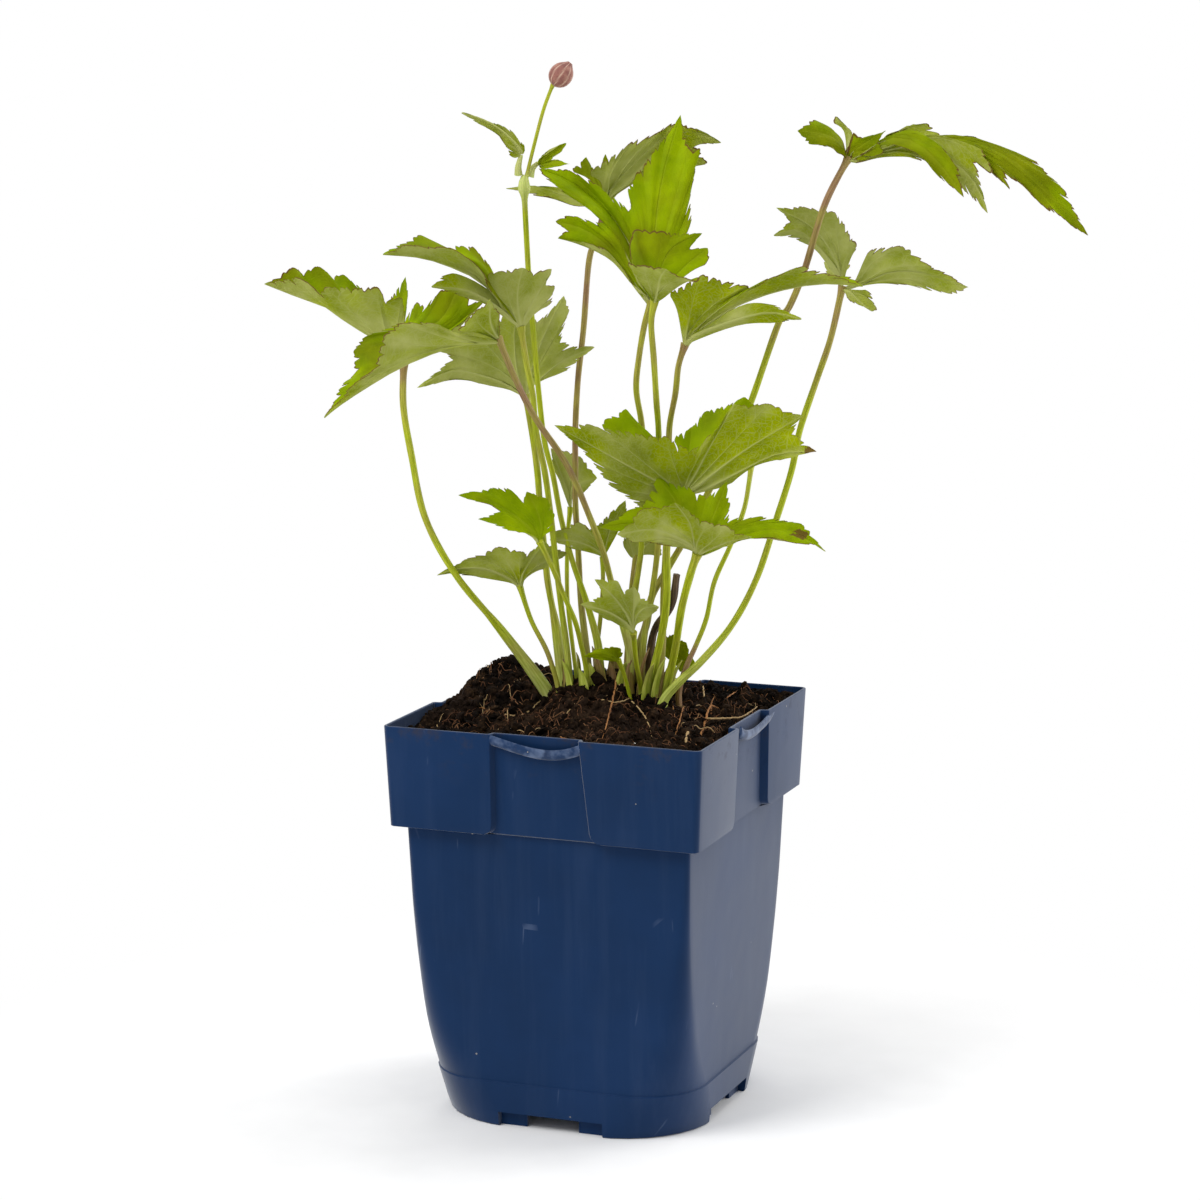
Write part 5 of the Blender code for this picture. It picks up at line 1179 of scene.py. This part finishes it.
def fan_sheet(hub, ribs, draw):
    """One fan as a grid, hub to margin: places, normals, and where its veins and edges are."""
    kinds = [kind for kind, *_ in ribs]
    curves, lengths = [], []
    hub_place = to_pot(hub)
    for _, *numbers in ribs:
        knots = [to_pot(p) for p in np.reshape(numbers, (-1, 3)) + hub]
        start = hub_place + 0.5 * unit(knots[0] - hub_place)
        curve, length = rib_curve([start, *knots])
        curves.append(curve)
        lengths.append(length)
    curves = np.array(curves)
    segments, shares = [], []
    for i in range(len(ribs) - 1):
        span = np.linalg.norm(curves[i + 1, -1] - curves[i, -1])
        count = max(4, math.ceil(span * 1.1 / COLUMN_PITCH))
        segments += [i] * count
        shares += list(np.arange(count) / count)
    segments, shares = np.array(segments + [len(ribs) - 2]), np.array(shares + [1.0])
    columns = len(segments)
    steps = np.linspace(0.0, 1.0, RIB_STEPS + 1)

    def ring(share):
        """Points across all ribs, each at its share of the way to the margin."""
        at = [np.stack([np.interp(share, steps, curve[:, c]) for c in range(3)], axis=-1)
              for curve in curves]
        return between_ribs(at, kinds, segments, shares)

    margin = ring(np.ones(columns))
    rib_lengths = np.repeat(np.array(lengths)[:, None], columns, axis=1)
    reach = between_ribs(rib_lengths, kinds, segments, shares)
    walked = walked_along(margin)
    starts = [int(np.argmax(segments == i)) for i in range(len(ribs) - 1)] + [columns - 1]
    size = min(1.0, 0.6 + max(lengths) / 80.0)
    cut = np.zeros(columns)
    for i in range(len(ribs) - 1):
        first, last = starts[i], starts[i + 1] + 1
        run = walked[first:last] - walked[first]
        if kinds[i] in "TL" and kinds[i + 1] in "TL":
            cut[first:last] = tooth_profile(np.abs(run - run[-1] / 2), run[-1] / 2, size, draw)
        else:
            toward = run if kinds[i + 1] in "TL" else run[-1] - run
            cut[first:last] = tooth_profile(toward, run[-1] + 1e-6, size, draw)
    # The cut is made across the margin, and is held small where a lobe narrows to its tip.
    ray, run = unit(margin - ring(np.full(columns, 0.94))), unit(np.gradient(margin, axis=0))
    slant = np.sqrt(np.maximum(1.0 - np.sum(ray * run, axis=1) ** 2, 0.0))
    midribs = [curves[i] for i, kind in enumerate(kinds) if kind == "T"]
    midribs = np.concatenate(midribs or [np.full((1, 3), 999.0)])
    half = np.linalg.norm(margin[:, None] - midribs, axis=-1).min(axis=1)
    cut *= np.clip(half / NARROW_LOBE, 0.0, 1.0) / np.clip(slant, 0.5, 1.0)
    grid = np.array([ring(a * (1.0 - np.minimum(cut / reach, 0.6) * a ** 2)) for a in RING_SHARES])
    # The sheet laid flat: each column is a ray with its own length and bearing.
    bearing = [0.0]
    for i in range(len(ribs) - 1):
        a, b = (unit(curves[k, RIB_STEPS // 2] - hub_place) for k in (i, i + 1))
        bearing.append(bearing[-1] + math.acos(max(-1.0, min(1.0, float(np.dot(a, b))))))
    turn = np.interp(np.arange(columns), starts, bearing)
    a = RING_SHARES[:, None]
    radius = a * (reach - cut)
    flat = np.stack([radius * np.cos(turn), radius * np.sin(turn)], axis=-1)
    # Main ribs run to the lobes' tips; side veins leave them by turns at about 45 degrees.
    rib, vein = np.full(flat.shape[:2], 9.0), np.zeros(flat.shape[:2])
    closest = np.full(columns, 9.0)
    for i, kind in enumerate(kinds):
        if kind not in "TL":
            continue
        swing = turn - bearing[i]
        ahead, aside = radius * np.cos(swing), radius * np.sin(np.minimum(np.abs(swing), 1.5))
        thinner = 0.0 if kind == "T" else 0.25
        rib = np.minimum(rib, aside + thinner + 0.45 * radius / lengths[i])
        turns = (ahead - aside + 0.012 * aside ** 2) / (VEIN_SPACING * size) + 0.45 * (swing > 0)
        vein = np.where(np.abs(swing) < closest, turns, vein)
        closest = np.minimum(closest, np.abs(swing))
    # The way to the nearest edge, for the brown rim: none at the hub, less on narrow lobes.
    edge = (1.0 - a) * reach
    for side in (grid[:, :1], grid[:, -1:]):
        edge = np.minimum(edge, np.linalg.norm(grid - side, axis=-1) + 0.4)
    edge[:2] += 5.0
    edge += 0.7 * np.clip(1.0 - half / 2.2, 0.0, 1.0)
    normals = unit(np.cross(np.gradient(grid, axis=0), np.gradient(grid, axis=1)))
    normals[0] = normals[1]
    # The margin waves, and the tissue puffs up between the ribs.
    wave = RIPPLE * a ** 3 * np.sin(walked * 0.42 + draw.uniform(0.0, 6.0))
    puff = 0.3 * size * (1 - np.exp(-(rib / 2.4) ** 2)) * np.sin(math.pi * a) ** 0.6
    return {"places": grid, "normals": normals, "lift": wave + np.nan_to_num(puff), "rib": rib,
            "vein": vein, "edge": edge, "flat": flat, "length": max(lengths)}


def sheet_skin(grid, count):
    """Faces of a thin closed skin: a sheet of so many points, its back, and the rim between."""
    edges = {(f[i], f[(i + 1) % 4]) for f in grid for i in range(4)}
    back = [tuple(count + i for i in reversed(f)) for f in grid]
    rim = [(b, a, count + a, count + b) for a, b in sorted(edges) if (b, a) not in edges]
    return grid + back + rim


def make_blade(name, hub, blade, node, seed, scale=1.0):
    """A blade as closed thin skins, one per fan: upper side, ribbed underside and margin."""
    draw = random.Random(seed)
    (tone_above, tone_below, rim), spots, fans = blade
    points, faces = [], []
    marks = {key: [] for key in BLADE_MARKS}
    for number, (face, *ribs) in enumerate(fans):
        sheet = fan_sheet(hub, ribs, draw)
        places, normals = sheet["places"], sheet["normals"]
        rows, columns = places.shape[:2]
        count = rows * columns
        facing = float(np.mean(normals[3:] @ unit(to_pot(UPPER_SIDE[face]))))
        flip = 1.0 if facing > 0 else -1.0
        normals = normals * flip
        places = places + sheet["lift"][..., None] * normals
        rib_bump = np.exp(-(sheet["rib"] / 0.7) ** 2)
        taper = 1.0 - 0.75 * RING_SHARES[:, None]
        ridge = scale * taper * (0.3 + 0.008 * sheet["length"]) * rib_bump
        above = np.maximum(HALF_THICKNESS * scale - 0.1 * scale * rib_bump, LEAST_THICKNESS)
        below = HALF_THICKNESS * scale + ridge
        grid = [(a, d, c, b) for a, b, c, d in grid_faces(rows, columns)]
        if flip < 0:
            grid = [tuple(reversed(f)) for f in grid]
        skin = np.concatenate([places + normals * above[..., None],
                               places - normals * below[..., None]])
        add_skin(points, faces, skin.reshape(-1, 3), sheet_skin(grid, count))
        dead = np.zeros(count)
        for centre, radius in spots:
            centre = to_pot(np.add(centre, hub))
            away = np.linalg.norm(places.reshape(-1, 3) - centre, axis=1)
            dead = np.maximum(dead, np.clip(1.5 - away / radius, 0.0, 1.0))
        marks["upper"] += [1.0] * count + [0.0] * count
        marks["tone"] += [tone_above] * count + [tone_below] * count
        marks["rim"] += [rim] * (2 * count)
        # The fans are laid out apart, so that the net of fine veins differs from one to the next.
        for key, values in (("dead", dead), ("vein_turns", sheet["vein"]),
                            ("rib_mm", sheet["rib"]), ("edge_mm", sheet["edge"]),
                            ("flat_u", sheet["flat"][..., 0] + 90.0 * number),
                            ("flat_v", sheet["flat"][..., 1])):
            marks[key] += list(np.tile(np.asarray(values).reshape(-1), 2))
    make_piece(name, points, faces, leaf_tissue, node, smooth_angle=60.0, marks=marks)


# Leaf tissue: IOR about 1.4, a satin cuticle above and a matt, downy, greyer skin below. Side
# veins run to the large teeth; a net of finer veins, cells about 1.5 mm wide, fills between.
leaf_tissue, tree, place = start_material("anemone_leaf_tissue")
marks = {name: add(tree, "Attribute", take="Fac", attribute_name=name) for name in BLADE_MARKS}
# The green shifts in broad clouds of 24 mm and a mottle of 13 mm, and is darker along the ribs.
mottle = add(tree, "TexNoise", {"Vector": place, "Scale": 75.0, "Detail": 5.0, "Roughness": 0.6})
broad = add(tree, "TexNoise", {"Vector": place, "Scale": 42.0, "Detail": 2.0, "Distortion": 0.6})
cloud = add(tree, "MapRange", {0: broad, 1: 0.35, 2: 0.65, 3: -0.6, 4: 0.6})
shift = add(tree, "Math", {0: marks["tone"], 1: cloud}, operation="ADD")
by_rib = add(tree, "MapRange", {0: marks["rib_mm"], 1: 0.5, 2: 3.5, 3: -0.25, 4: 0.1})
shift = add(tree, "Math", {0: shift, 1: by_rib}, operation="ADD", use_clamp=True)
young = add(tree, "ValToRGB", {"Fac": mottle}, stops=[(0.32, "#7E9A00"), (0.68, "#A8C002")])
old = add(tree, "ValToRGB", {"Fac": mottle}, stops=[(0.32, "#6A7804"), (0.68, "#90990C")])
top = add(tree, "Mix", {"Factor": shift, "A": old, "B": young}, data_type="RGBA")
under_young = add(tree, "ValToRGB", {"Fac": mottle}, stops=[(0.32, "#7C8A00"), (0.68, "#ACB80A")])
under_old = add(tree, "ValToRGB", {"Fac": mottle}, stops=[(0.32, "#979F3C"), (0.68, "#C6C976")])
below = add(tree, "Mix", {"Factor": shift, "A": under_old, "B": under_young}, data_type="RGBA")
tissue = add(tree, "Mix", {"Factor": marks["upper"], "A": below, "B": top}, data_type="RGBA")
# Side veins wander a little; they, the main ribs and the net are drawn as pale lines.
vein_pale = add(tree, "Mix", {"Factor": marks["upper"], "A": "#CCD080", "B": "#A9B826"},
                data_type="RGBA")
flat = add(tree, "CombineXYZ", {0: marks["flat_u"], 1: marks["flat_v"], 2: marks["tone"]})
net = add(tree, "TexVoronoi", {"Vector": flat, "Scale": 0.62}, feature="DISTANCE_TO_EDGE")
net_line = add(tree, "MapRange", {0: net, 1: 0.0, 2: 0.1, 3: 1.0, 4: 0.0})
wander = add(tree, "MapRange", {0: broad, 3: -0.25, 4: 0.25})
wavy = add(tree, "Math", {0: marks["vein_turns"], 1: wander}, operation="ADD")
off_vein = add(tree, "Math", {0: wavy, 1: 0.5}, operation="PINGPONG")
vein_line = add(tree, "MapRange", {0: off_vein, 1: 0.01, 2: 0.07, 3: 0.42, 4: 0.0})
far_vein = add(tree, "MapRange", {0: marks["rib_mm"], 1: 2.0, 2: 10.0, 3: 1.0, 4: 0.3})
vein_line = add(tree, "Math", {0: vein_line, 1: far_vein}, operation="MULTIPLY")
rib_line = add(tree, "MapRange", {0: marks["rib_mm"], 1: 0.2, 2: 0.8, 3: 1.0, 4: 0.0})
lines = add(tree, "Math", {0: vein_line, 1: rib_line}, operation="MAXIMUM")
fine_lines = add(tree, "Math", {0: net_line, 1: 0.32}, operation="MULTIPLY")
lines = add(tree, "Math", {0: lines, 1: fine_lines}, operation="MAXIMUM")
upper_fade = add(tree, "MapRange", {0: marks["upper"], 3: 0.8, 4: 0.4})
veined = add(tree, "Math", {0: lines, 1: upper_fade}, operation="MULTIPLY")
tissue = add(tree, "Mix", {"Factor": veined, "A": tissue, "B": vein_pale}, data_type="RGBA")
# Brown, dried tissue: a ragged rim along the teeth, and dry spots on the oldest blades.
edge_wander = add(tree, "MapRange", {0: mottle, 1: 0.35, 2: 0.65, 3: 0.0, 4: 0.75})
edge_wander = add(tree, "Math", {0: edge_wander, 1: marks["rim"]}, operation="MULTIPLY")
scorched = add(tree, "Math", {0: marks["edge_mm"], 1: edge_wander}, operation="LESS_THAN")
ragged = add(tree, "TexNoise", {"Vector": place, "Scale": 500.0, "Detail": 3.0})
ragged = add(tree, "MapRange", {0: ragged, 1: 0.3, 2: 0.7, 3: -0.35, 4: 0.35})
spot = add(tree, "Math", {0: marks["dead"], 1: ragged}, operation="ADD")
spot = add(tree, "MapRange", {0: spot, 1: 0.45, 2: 0.6})
scorched = add(tree, "Math", {0: scorched, 1: spot}, operation="MAXIMUM")
scorched = add(tree, "Math", {0: scorched, 1: 0.8}, operation="MULTIPLY")
tissue = add(tree, "Mix", {"Factor": scorched, "A": tissue, "B": "#74482E"}, data_type="RGBA")
# Veins stand up below and are sunk above; down gives the skin a grain finer than a millimetre.
down_grain = add(tree, "TexNoise", {"Vector": place, "Scale": 1500.0, "Detail": 2.0})
sunk = add(tree, "MapRange", {0: marks["upper"], 3: 0.6, 4: -0.6})
vein_height = add(tree, "Math", {0: lines, 1: sunk}, operation="MULTIPLY")
relief = add(tree, "Bump", {"Height": vein_height, "Strength": 0.5, "Distance": 0.0003})
relief = add(tree, "Bump", {"Height": down_grain, "Strength": 0.12, "Distance": 0.0001,
                            "Normal": relief})
gloss = add(tree, "MapRange", {0: marks["upper"], 3: 0.72, 4: 0.46})
surface = add(tree, "BsdfPrincipled", {"Base Color": tissue, "Roughness": gloss, "Normal": relief,
                                       "IOR": 1.4, "Specular IOR Level": 0.04})
# Light from behind comes through the thin tissue as a yellower green.
glow_tint = add(tree, "Mix", {"Factor": veined, "A": "#A6B400", "B": "#8E9A10"}, data_type="RGBA")
glow_tint = add(tree, "Mix", {"Factor": scorched, "A": glow_tint, "B": "#5A3A22"},
                data_type="RGBA")
glow = add(tree, "BsdfTranslucent", {"Color": glow_tint, "Normal": relief})
shade = add(tree, "MixShader", {0: 0.3, 1: surface, 2: glow})
add(tree, "OutputMaterial", {"Surface": shade})

for number, (name, blade) in enumerate(BLADES.items()):
    hub = STALKS[name][1][-1]
    make_blade(f"blade_{name}", hub, blade, f"leaf_{name}_blade", 40 + number)

# -------------------- crown scales
# Sheath bases left round the crown: short pointed scales, green where they are fresh and
# papery brown where old, standing in the compost against the foot of the stalks.
# Each scale: place in the clump, height, width, lean out, and how brown it is.
SCALES = (
    (-11, 3, 13, 5.0, 0.1, 0.0), (-6, 0, 10, 4.5, 0.05, 0.0), (-3, 2, 12, 4.5, -0.05, 0.1),
    (1, 4, 14, 4.0, 0.1, 0.9), (4, 5, 11, 3.5, -0.1, 1.0), (8, 3, 12, 4.5, 0.05, 0.1),
    (11, 2, 13, 4.0, -0.1, 0.9), (14, 6, 17, 4.0, 0.1, 1.0), (17, 0, 12, 4.5, 0.1, 0.2),
    (20, 1, 14, 4.5, 0.15, 0.1), (22, 4, 12, 4.0, 0.2, 0.9), (-14, 7, 12, 4.0, -0.2, 0.9),
    (-8, 10, 14, 4.0, -0.1, 0.3), (5, 14, 14, 4.0, 0.0, 0.9), (18, 14, 12, 4.0, 0.2, 1.0),
    (25, 9, 11, 4.0, 0.3, 0.2), (-1, 12, 16, 3.5, 0.0, 1.0), (11, 12, 15, 4.0, 0.1, 0.8),
)
SCALE_ROWS, SCALE_COLUMNS = 12, 7
SCALE_THICKNESS = 0.3
SCALE_LEVEL = 151.5
scale_faces = sheet_skin(grid_faces(SCALE_ROWS, SCALE_COLUMNS), SCALE_ROWS * SCALE_COLUMNS)
points, faces = [], []
marks = {key: [] for key in ("around", "along_mm", "rise", "brown", "pale")}
for u, v, height, width, lean, browning in SCALES:
    away = unit(np.array([u - 5.0, v - 8.0]) + 1e-6)
    side = np.array([-away[1], away[0]])
    front = []
    for i in range(SCALE_ROWS):
        share = i / (SCALE_ROWS - 1)
        half = 0.65 * width * (1.0 - share ** 2.2) ** 0.6 + 0.08
        out = 0.8 + lean * height * share + 0.1 * height * share ** 3
        for k in range(SCALE_COLUMNS):
            across = 2.0 * k / (SCALE_COLUMNS - 1) - 1.0
            bow = out - 0.35 * half * across ** 2
            x, y = np.array([u, v]) + away * bow + side * half * across
            z = SCALE_LEVEL + height * (share * 1.1 - 0.2) + 0.4 * across * (k % 2)
            front.append((x, y, z))
    back = [(x - SCALE_THICKNESS * away[0], y - SCALE_THICKNESS * away[1], z) for x, y, z in front]
    add_skin(points, faces, [to_pot(p) for p in front + back], scale_faces)
    share = np.tile(np.repeat(np.linspace(0, 1, SCALE_ROWS), SCALE_COLUMNS), 2)
    marks["around"] += list(np.tile(np.linspace(0.0, 0.3, SCALE_COLUMNS), 2 * SCALE_ROWS))
    marks["along_mm"] += list(share * height)
    marks["rise"] += list(share)
    marks["brown"] += list(np.clip(browning + 0.3 * (share - 0.6), 0.0, 1.0))
    marks["pale"] += [0.35 * (1.0 - browning)] * len(share)
make_piece("crown_scales", points, faces, stalk_green, smooth_angle=60.0,
           marks=marks)

# -------------------- flower shoot
# One flowering stem with a swollen joint near its top, and a slender stalk above the joint that
# bears the bud. The skin is that of the leaf stalks.
FLOWER_STEM = [
    (1, 8, 151), (0, 6, 160), (-1, 3, 170), (-5, 1, 185), (-10, 0, 200), (-14, 2, 215),
    (-17, 3, 231), (-20, 4, 243), (-22, 5, 260), (-24, 5, 283), (-25, 4, 294), (-26, 3, 312),
    (-27, 2, 335), (-26.5, 2, 338.5),
]
PEDICEL = [(-26.5, 2, 336.5), (-26, 2, 339), (-23, 2, 351), (-20, 1, 362), (-17, 0, 370),
           (-16.4, 0, 371.2)]
JOINT_SHARE = 0.975
knots = [to_pot(p) for p in FLOWER_STEM]
path = smooth_path([knots[0] - BURIED, *knots], 130)
rise = np.linspace(0.0, 1.0, len(path))
joint = 1.3 * np.exp(-((rise - JOINT_SHARE) / 0.015) ** 2)
radii = 1.0 + 0.9 * np.clip(1 - rise / 0.3, 0, 1) ** 1.5 + joint
flat = 1.0 + 0.5 * np.clip(1 - rise / 0.2, 0, 1)
points, faces, marks = stem_skin(path, radii, ribs=6, flat=flat)
rise = marks["rise"]
marks["brown"] = np.clip(0.25 - rise, 0.0, 1.0)
marks["pale"] = (np.clip(0.5 * (1.0 - rise / 0.2), 0.0, 1.0)
                 + np.clip((rise - 0.93) / 0.04, 0.0, 0.9))
make_piece("flowering_stem", points, faces, stalk_green, "flower_stem", marks=marks)
path = smooth_path([to_pot(p) for p in PEDICEL], 40)
rise = np.linspace(0.0, 1.0, len(path))
radii = (0.65 + 0.3 * np.clip(1 - rise / 0.12, 0, 1)
         + 0.5 * np.clip((rise - 0.92) / 0.08, 0, 1) ** 1.5)
points, faces, marks = stem_skin(path, radii, ribs=RIB_COUNT)
marks["brown"] = 0.3 * marks["rise"] ** 0.5
marks["pale"] = 0.8 * np.clip(1.0 - marks["rise"] / 0.15, 0.0, 1.0)
make_piece("bud_stalk", points, faces, stalk_green, "pedicel", marks=marks)

# -------------------- flower bud
# The closed bud: downy sepals, dusty pink-brown outside, lapped lengthwise to a small beak. The
# laps show as paler grooves.
BUD_BASE = (-16.6, 0.0, 370.6)
BUD_TIP = (-10.0, 0.0, 379.0)
# The bud's radius at shares of its length.
BUD_PROFILE = [(0.0, 1.1), (0.04, 2.0), (0.08, 2.6), (0.16, 3.4), (0.25, 3.9), (0.35, 4.15),
               (0.45, 4.2), (0.55, 4.0), (0.65, 3.6), (0.74, 2.9), (0.82, 2.0), (0.88, 1.35),
               (0.93, 0.9)]
BUD_SIDES, BUD_ROWS = 60, 40
SEPALS = 9
GROOVE_WIDTH = 0.07
base, tip = to_pot(BUD_BASE), to_pot(BUD_TIP)
axis = unit(tip - base)
across = unit(np.cross(axis, (0.3, 0.9, 0.2)))
other = np.cross(axis, across)
shares, radii = zip(*BUD_PROFILE)
points, groove = [], []
for level in np.linspace(0.0, shares[-1], BUD_ROWS):
    girth = float(np.interp(level, shares, radii))
    for k in range(BUD_SIDES):
        turn = 2 * math.pi * k / BUD_SIDES
        lap = (SEPALS * turn / (2 * math.pi) + 0.35 * level) % 1.0
        r = girth * (0.97 + 0.045 * math.sin(math.pi * lap) ** 0.5)
        outward = math.cos(turn) * across + math.sin(turn) * other
        points.append(base + (tip - base) * level + r * outward)
        groove.append(math.exp(-(min(lap, 1.0 - lap) / GROOVE_WIDTH) ** 2))
faces = tube_faces(BUD_ROWS, BUD_SIDES)
faces.append(tuple(reversed(range(BUD_SIDES))))
faces.append(tuple((BUD_ROWS - 1) * BUD_SIDES + k for k in range(BUD_SIDES)))
# Down makes the sepals matt, with a pale sheen at their edges, and a 3 mm blush varies them.
sepal, tree, place = start_material("downy_sepal")
lap = add(tree, "Attribute", take="Fac", attribute_name="groove")
blush = add(tree, "TexNoise", {"Vector": place, "Scale": 350.0, "Detail": 4.0})
tint = add(tree, "ValToRGB", {"Fac": blush},
           stops=[(0.3, "#744640"), (0.5, "#8E5C52"), (0.7, "#A67868")])
tint = add(tree, "Mix", {"Factor": lap, "A": tint, "B": "#C8A894"}, data_type="RGBA")
down_hair = add(tree, "TexNoise", {"Vector": place, "Scale": 2500.0, "Detail": 2.0})
relief = add(tree, "Bump", {"Height": down_hair, "Strength": 0.4, "Distance": 0.0002})
shade = add(tree, "BsdfPrincipled", {"Base Color": tint, "Roughness": 0.75, "Normal": relief,
                                     "IOR": 1.4, "Sheen Weight": 0.35, "Sheen Roughness": 0.4,
                                     "Sheen Tint": "#E8D8CC"})
add(tree, "OutputMaterial", {"Surface": shade})
make_piece("bud_sepals", points, faces, sepal, "flower_bud",
           marks={"groove": groove})

# -------------------- bract leaves
# Small stem leaves of the whorl under the bud's stalk, thinner and paler than the leaves below.
BRACT_STALKS = {
    "left": [(-29, 2, 339), (-29, 1, 342), (-28, 1, 346)],
    "right": [(-25, 5, 338), (-24, 5, 341), (-22, 5, 343)],
}
BRACT_BLADES = {
    "left": ((0.6, 0.4, 0.3), [], [
        ("a", ("E", -2, -1, -1, -4, -2, -1), ("L", -2, -2, 2, -5, -3, 4, -7, -4, 6),
         ("T", -1, -2, 3, -7, -4, 9, -14, -5, 13, -21, -6, 15), ("L", 0, -1, 2, -4, -2, 7,
         -8, -3, 11), ("L", 0, -1, 2, -1, -1, 5, -3, -1, 8), ("E", 1, 0, 1, 2, 0, 3)),
    ]),
    "right": ((1.0, 0.8, 0.2), [], [
        ("n", ("E", 0, -2, -1, 0, -3, 1), ("L", 0, -2, 0, 1, -2, 2, 2, -3, 3), ("L", 0, -2, 0,
         3, -2, 4, 7, -3, 6), ("T", 0, -2, 0, 4, -2, 3, 10, -3, 7), ("L", 1, -2, 0, 5, -2, 2,
         8, -3, 4), ("S", 1, -2, 0, 4, -2, 1), ("L", 1, -2, -1, 5, -2, 1, 8, -3, 1),
         ("T", 1, -2, -1, 6, -3, 0, 11, -5, 0), ("L", 1, -2, -1, 5, -3, -1, 8, -4, -1),
         ("E", 1, -2, -2, 4, -3, -2)),
    ]),
}
for number, (side, stalk) in enumerate(BRACT_STALKS.items()):
    knots = [to_pot(p) for p in stalk]
    radii = np.linspace(1.5, 0.7, 12)
    points, faces, marks = stem_skin(smooth_path(knots, len(radii)), radii, sides=12)
    marks["brown"], marks["pale"] = np.zeros(len(points)), np.full(len(points), 1.0)
    make_piece(f"bract_{side}_base", points, faces, stalk_green,
               f"bract_{side}_stalk", marks=marks)
    make_blade(f"bract_{side}_leaf", stalk[-1], BRACT_BLADES[side], f"bract_{side}_blade",
               80 + number, scale=0.7)

# -------------------- cut dead stalk
# What is left of a leaf that was cut away: a dry, dark, shrunken stalk, cut off square. Drying
# has drawn its ribs up sharply and made its skin matt.
CUT_STALK = [(18, 15, 150), (18, 15, 159), (20, 14, 172), (26, 13, 181), (28, 12, 193)]
knots = [to_pot(p) for p in CUT_STALK]
path = smooth_path([knots[0] - BURIED, *knots], 34)
rise = np.linspace(0.0, 1.0, len(path))
radii = (1.3 + 0.2 * (1 - rise)) * (1.0 + 0.05 * np.sin(rise * 31.0))
points, faces, _ = stem_skin(path, radii, ribs=RIB_COUNT, rib_depth=0.12)
dry_skin, tree, place = start_material("dried_stalk_skin")
stretched = add(tree, "Mapping", {"Vector": place, "Scale": (900.0, 900.0, 90.0)})
grain = add(tree, "TexNoise", {"Vector": stretched, "Scale": 1.0, "Detail": 4.0})
tint = add(tree, "ValToRGB", {"Fac": grain},
           stops=[(0.3, "#2E2118"), (0.5, "#4B3828"), (0.7, "#7B644A")])
relief = add(tree, "Bump", {"Height": grain, "Strength": 0.6, "Distance": 0.0003})
shade = add(tree, "BsdfPrincipled", {"Base Color": tint, "Roughness": 0.8, "Normal": relief})
add(tree, "OutputMaterial", {"Surface": shade})
make_piece("dead_leaf_stalk", points, faces, dry_skin, "cut_stalk")

# -------------------- floor, light and camera
# A plain white floor and an even white studio surround, softly lit from the upper front left.
# The surround is plain white to a direct look, in a gloss and through a skin, and the floor
# fades into it away from the pot.
FADE_FROM, FADE_TO = 0.085, 0.27
SURROUND_LIGHT = 0.62
floor_paint, tree, place = start_material("white_floor_paint")
grain = add(tree, "TexNoise", {"Vector": place, "Scale": 40.0, "Detail": 4.0})
paint = add(tree, "ValToRGB", {"Fac": grain}, stops=[(0.3, "#F4F4F4"), (0.7, "#F8F8F8")])
shade = add(tree, "BsdfPrincipled", {"Base Color": paint, "Roughness": 0.9,
                                     "Specular IOR Level": 0.1})
away = add(tree, "VectorMath", {0: place}, operation="LENGTH", take="Value")
far_off = add(tree, "MapRange", {0: away, 1: FADE_FROM, 2: FADE_TO},
              interpolation_type="SMOOTHSTEP")


def looked_at(tree):
    """One for rays that look at a surface directly, in a gloss or through a skin; else zero."""
    rays = [add(tree, "LightPath", take=f"Is {kind} Ray")
            for kind in ("Camera", "Glossy", "Transmission")]
    either = add(tree, "Math", {0: rays[0], 1: rays[1]}, operation="MAXIMUM")
    return add(tree, "Math", {0: either, 1: rays[2]}, operation="MAXIMUM")


fade = add(tree, "Math", {0: far_off, 1: looked_at(tree)}, operation="MULTIPLY")
white = add(tree, "Emission", {"Color": "#FFFFFF", "Strength": 1.0})
add(tree, "OutputMaterial", {"Surface": add(tree, "MixShader", {0: fade, 1: shade, 2: white})})
bm = bmesh.new()
bmesh.ops.create_grid(bm, x_segments=1, y_segments=1, size=6.0)
mesh = bpy.data.meshes.new("floor")
bm.to_mesh(mesh)
bm.free()
mesh.materials.append(floor_paint)
floor = add_object("floor", mesh)

world = bpy.data.worlds.new("studio_surround")
bpy.context.scene.world = world
world.use_nodes = True
tree = world.node_tree
tree.nodes.clear()
level = add(tree, "MapRange", {0: looked_at(tree), 3: SURROUND_LIGHT, 4: 1.0})
surround = add(tree, "Background", {"Color": "#FFFFFF", "Strength": level})
add(tree, "OutputWorld", {"Surface": surround})


def area_light(name, place, size, power):
    """A square soft light aimed at the middle of the plant."""
    lamp = bpy.data.lights.new(name, "AREA")
    lamp.size = size
    lamp.energy = power
    made = add_object(name, lamp)
    made.location = place
    away = Vector(place) - Vector((0.0, 0.0, 0.2))
    made.rotation_euler = away.to_track_quat("Z", "Y").to_euler()


area_light("key_light", (-0.7, -1.1, 1.5), 0.9, 20.0)
area_light("fill_light", (1.5, 1.3, 0.7), 1.3, 26.0)
area_light("top_light", (0.1, 0.5, 1.8), 1.2, 8.0)

# The camera looks at the middle of the plant's height, 21 degrees round to the right of the
# front and 10 degrees down.
VIEW_FROM = Vector((0.3521, -0.9192, 0.1764))
VIEW_DISTANCE = 1.3464
view = bpy.context.scene.view_settings
view.view_transform = "Standard"
lens = bpy.data.cameras.new("camera")
lens.lens = 111.45
lens.sensor_width = 36.0
lens.clip_start = 0.05
camera = add_object("camera", lens)
target = Vector((0.0, 0.0, 0.1856))
camera.location = target + VIEW_FROM * VIEW_DISTANCE
camera.rotation_euler = (camera.location - target).to_track_quat("Z", "Y").to_euler()
bpy.context.scene.camera = camera
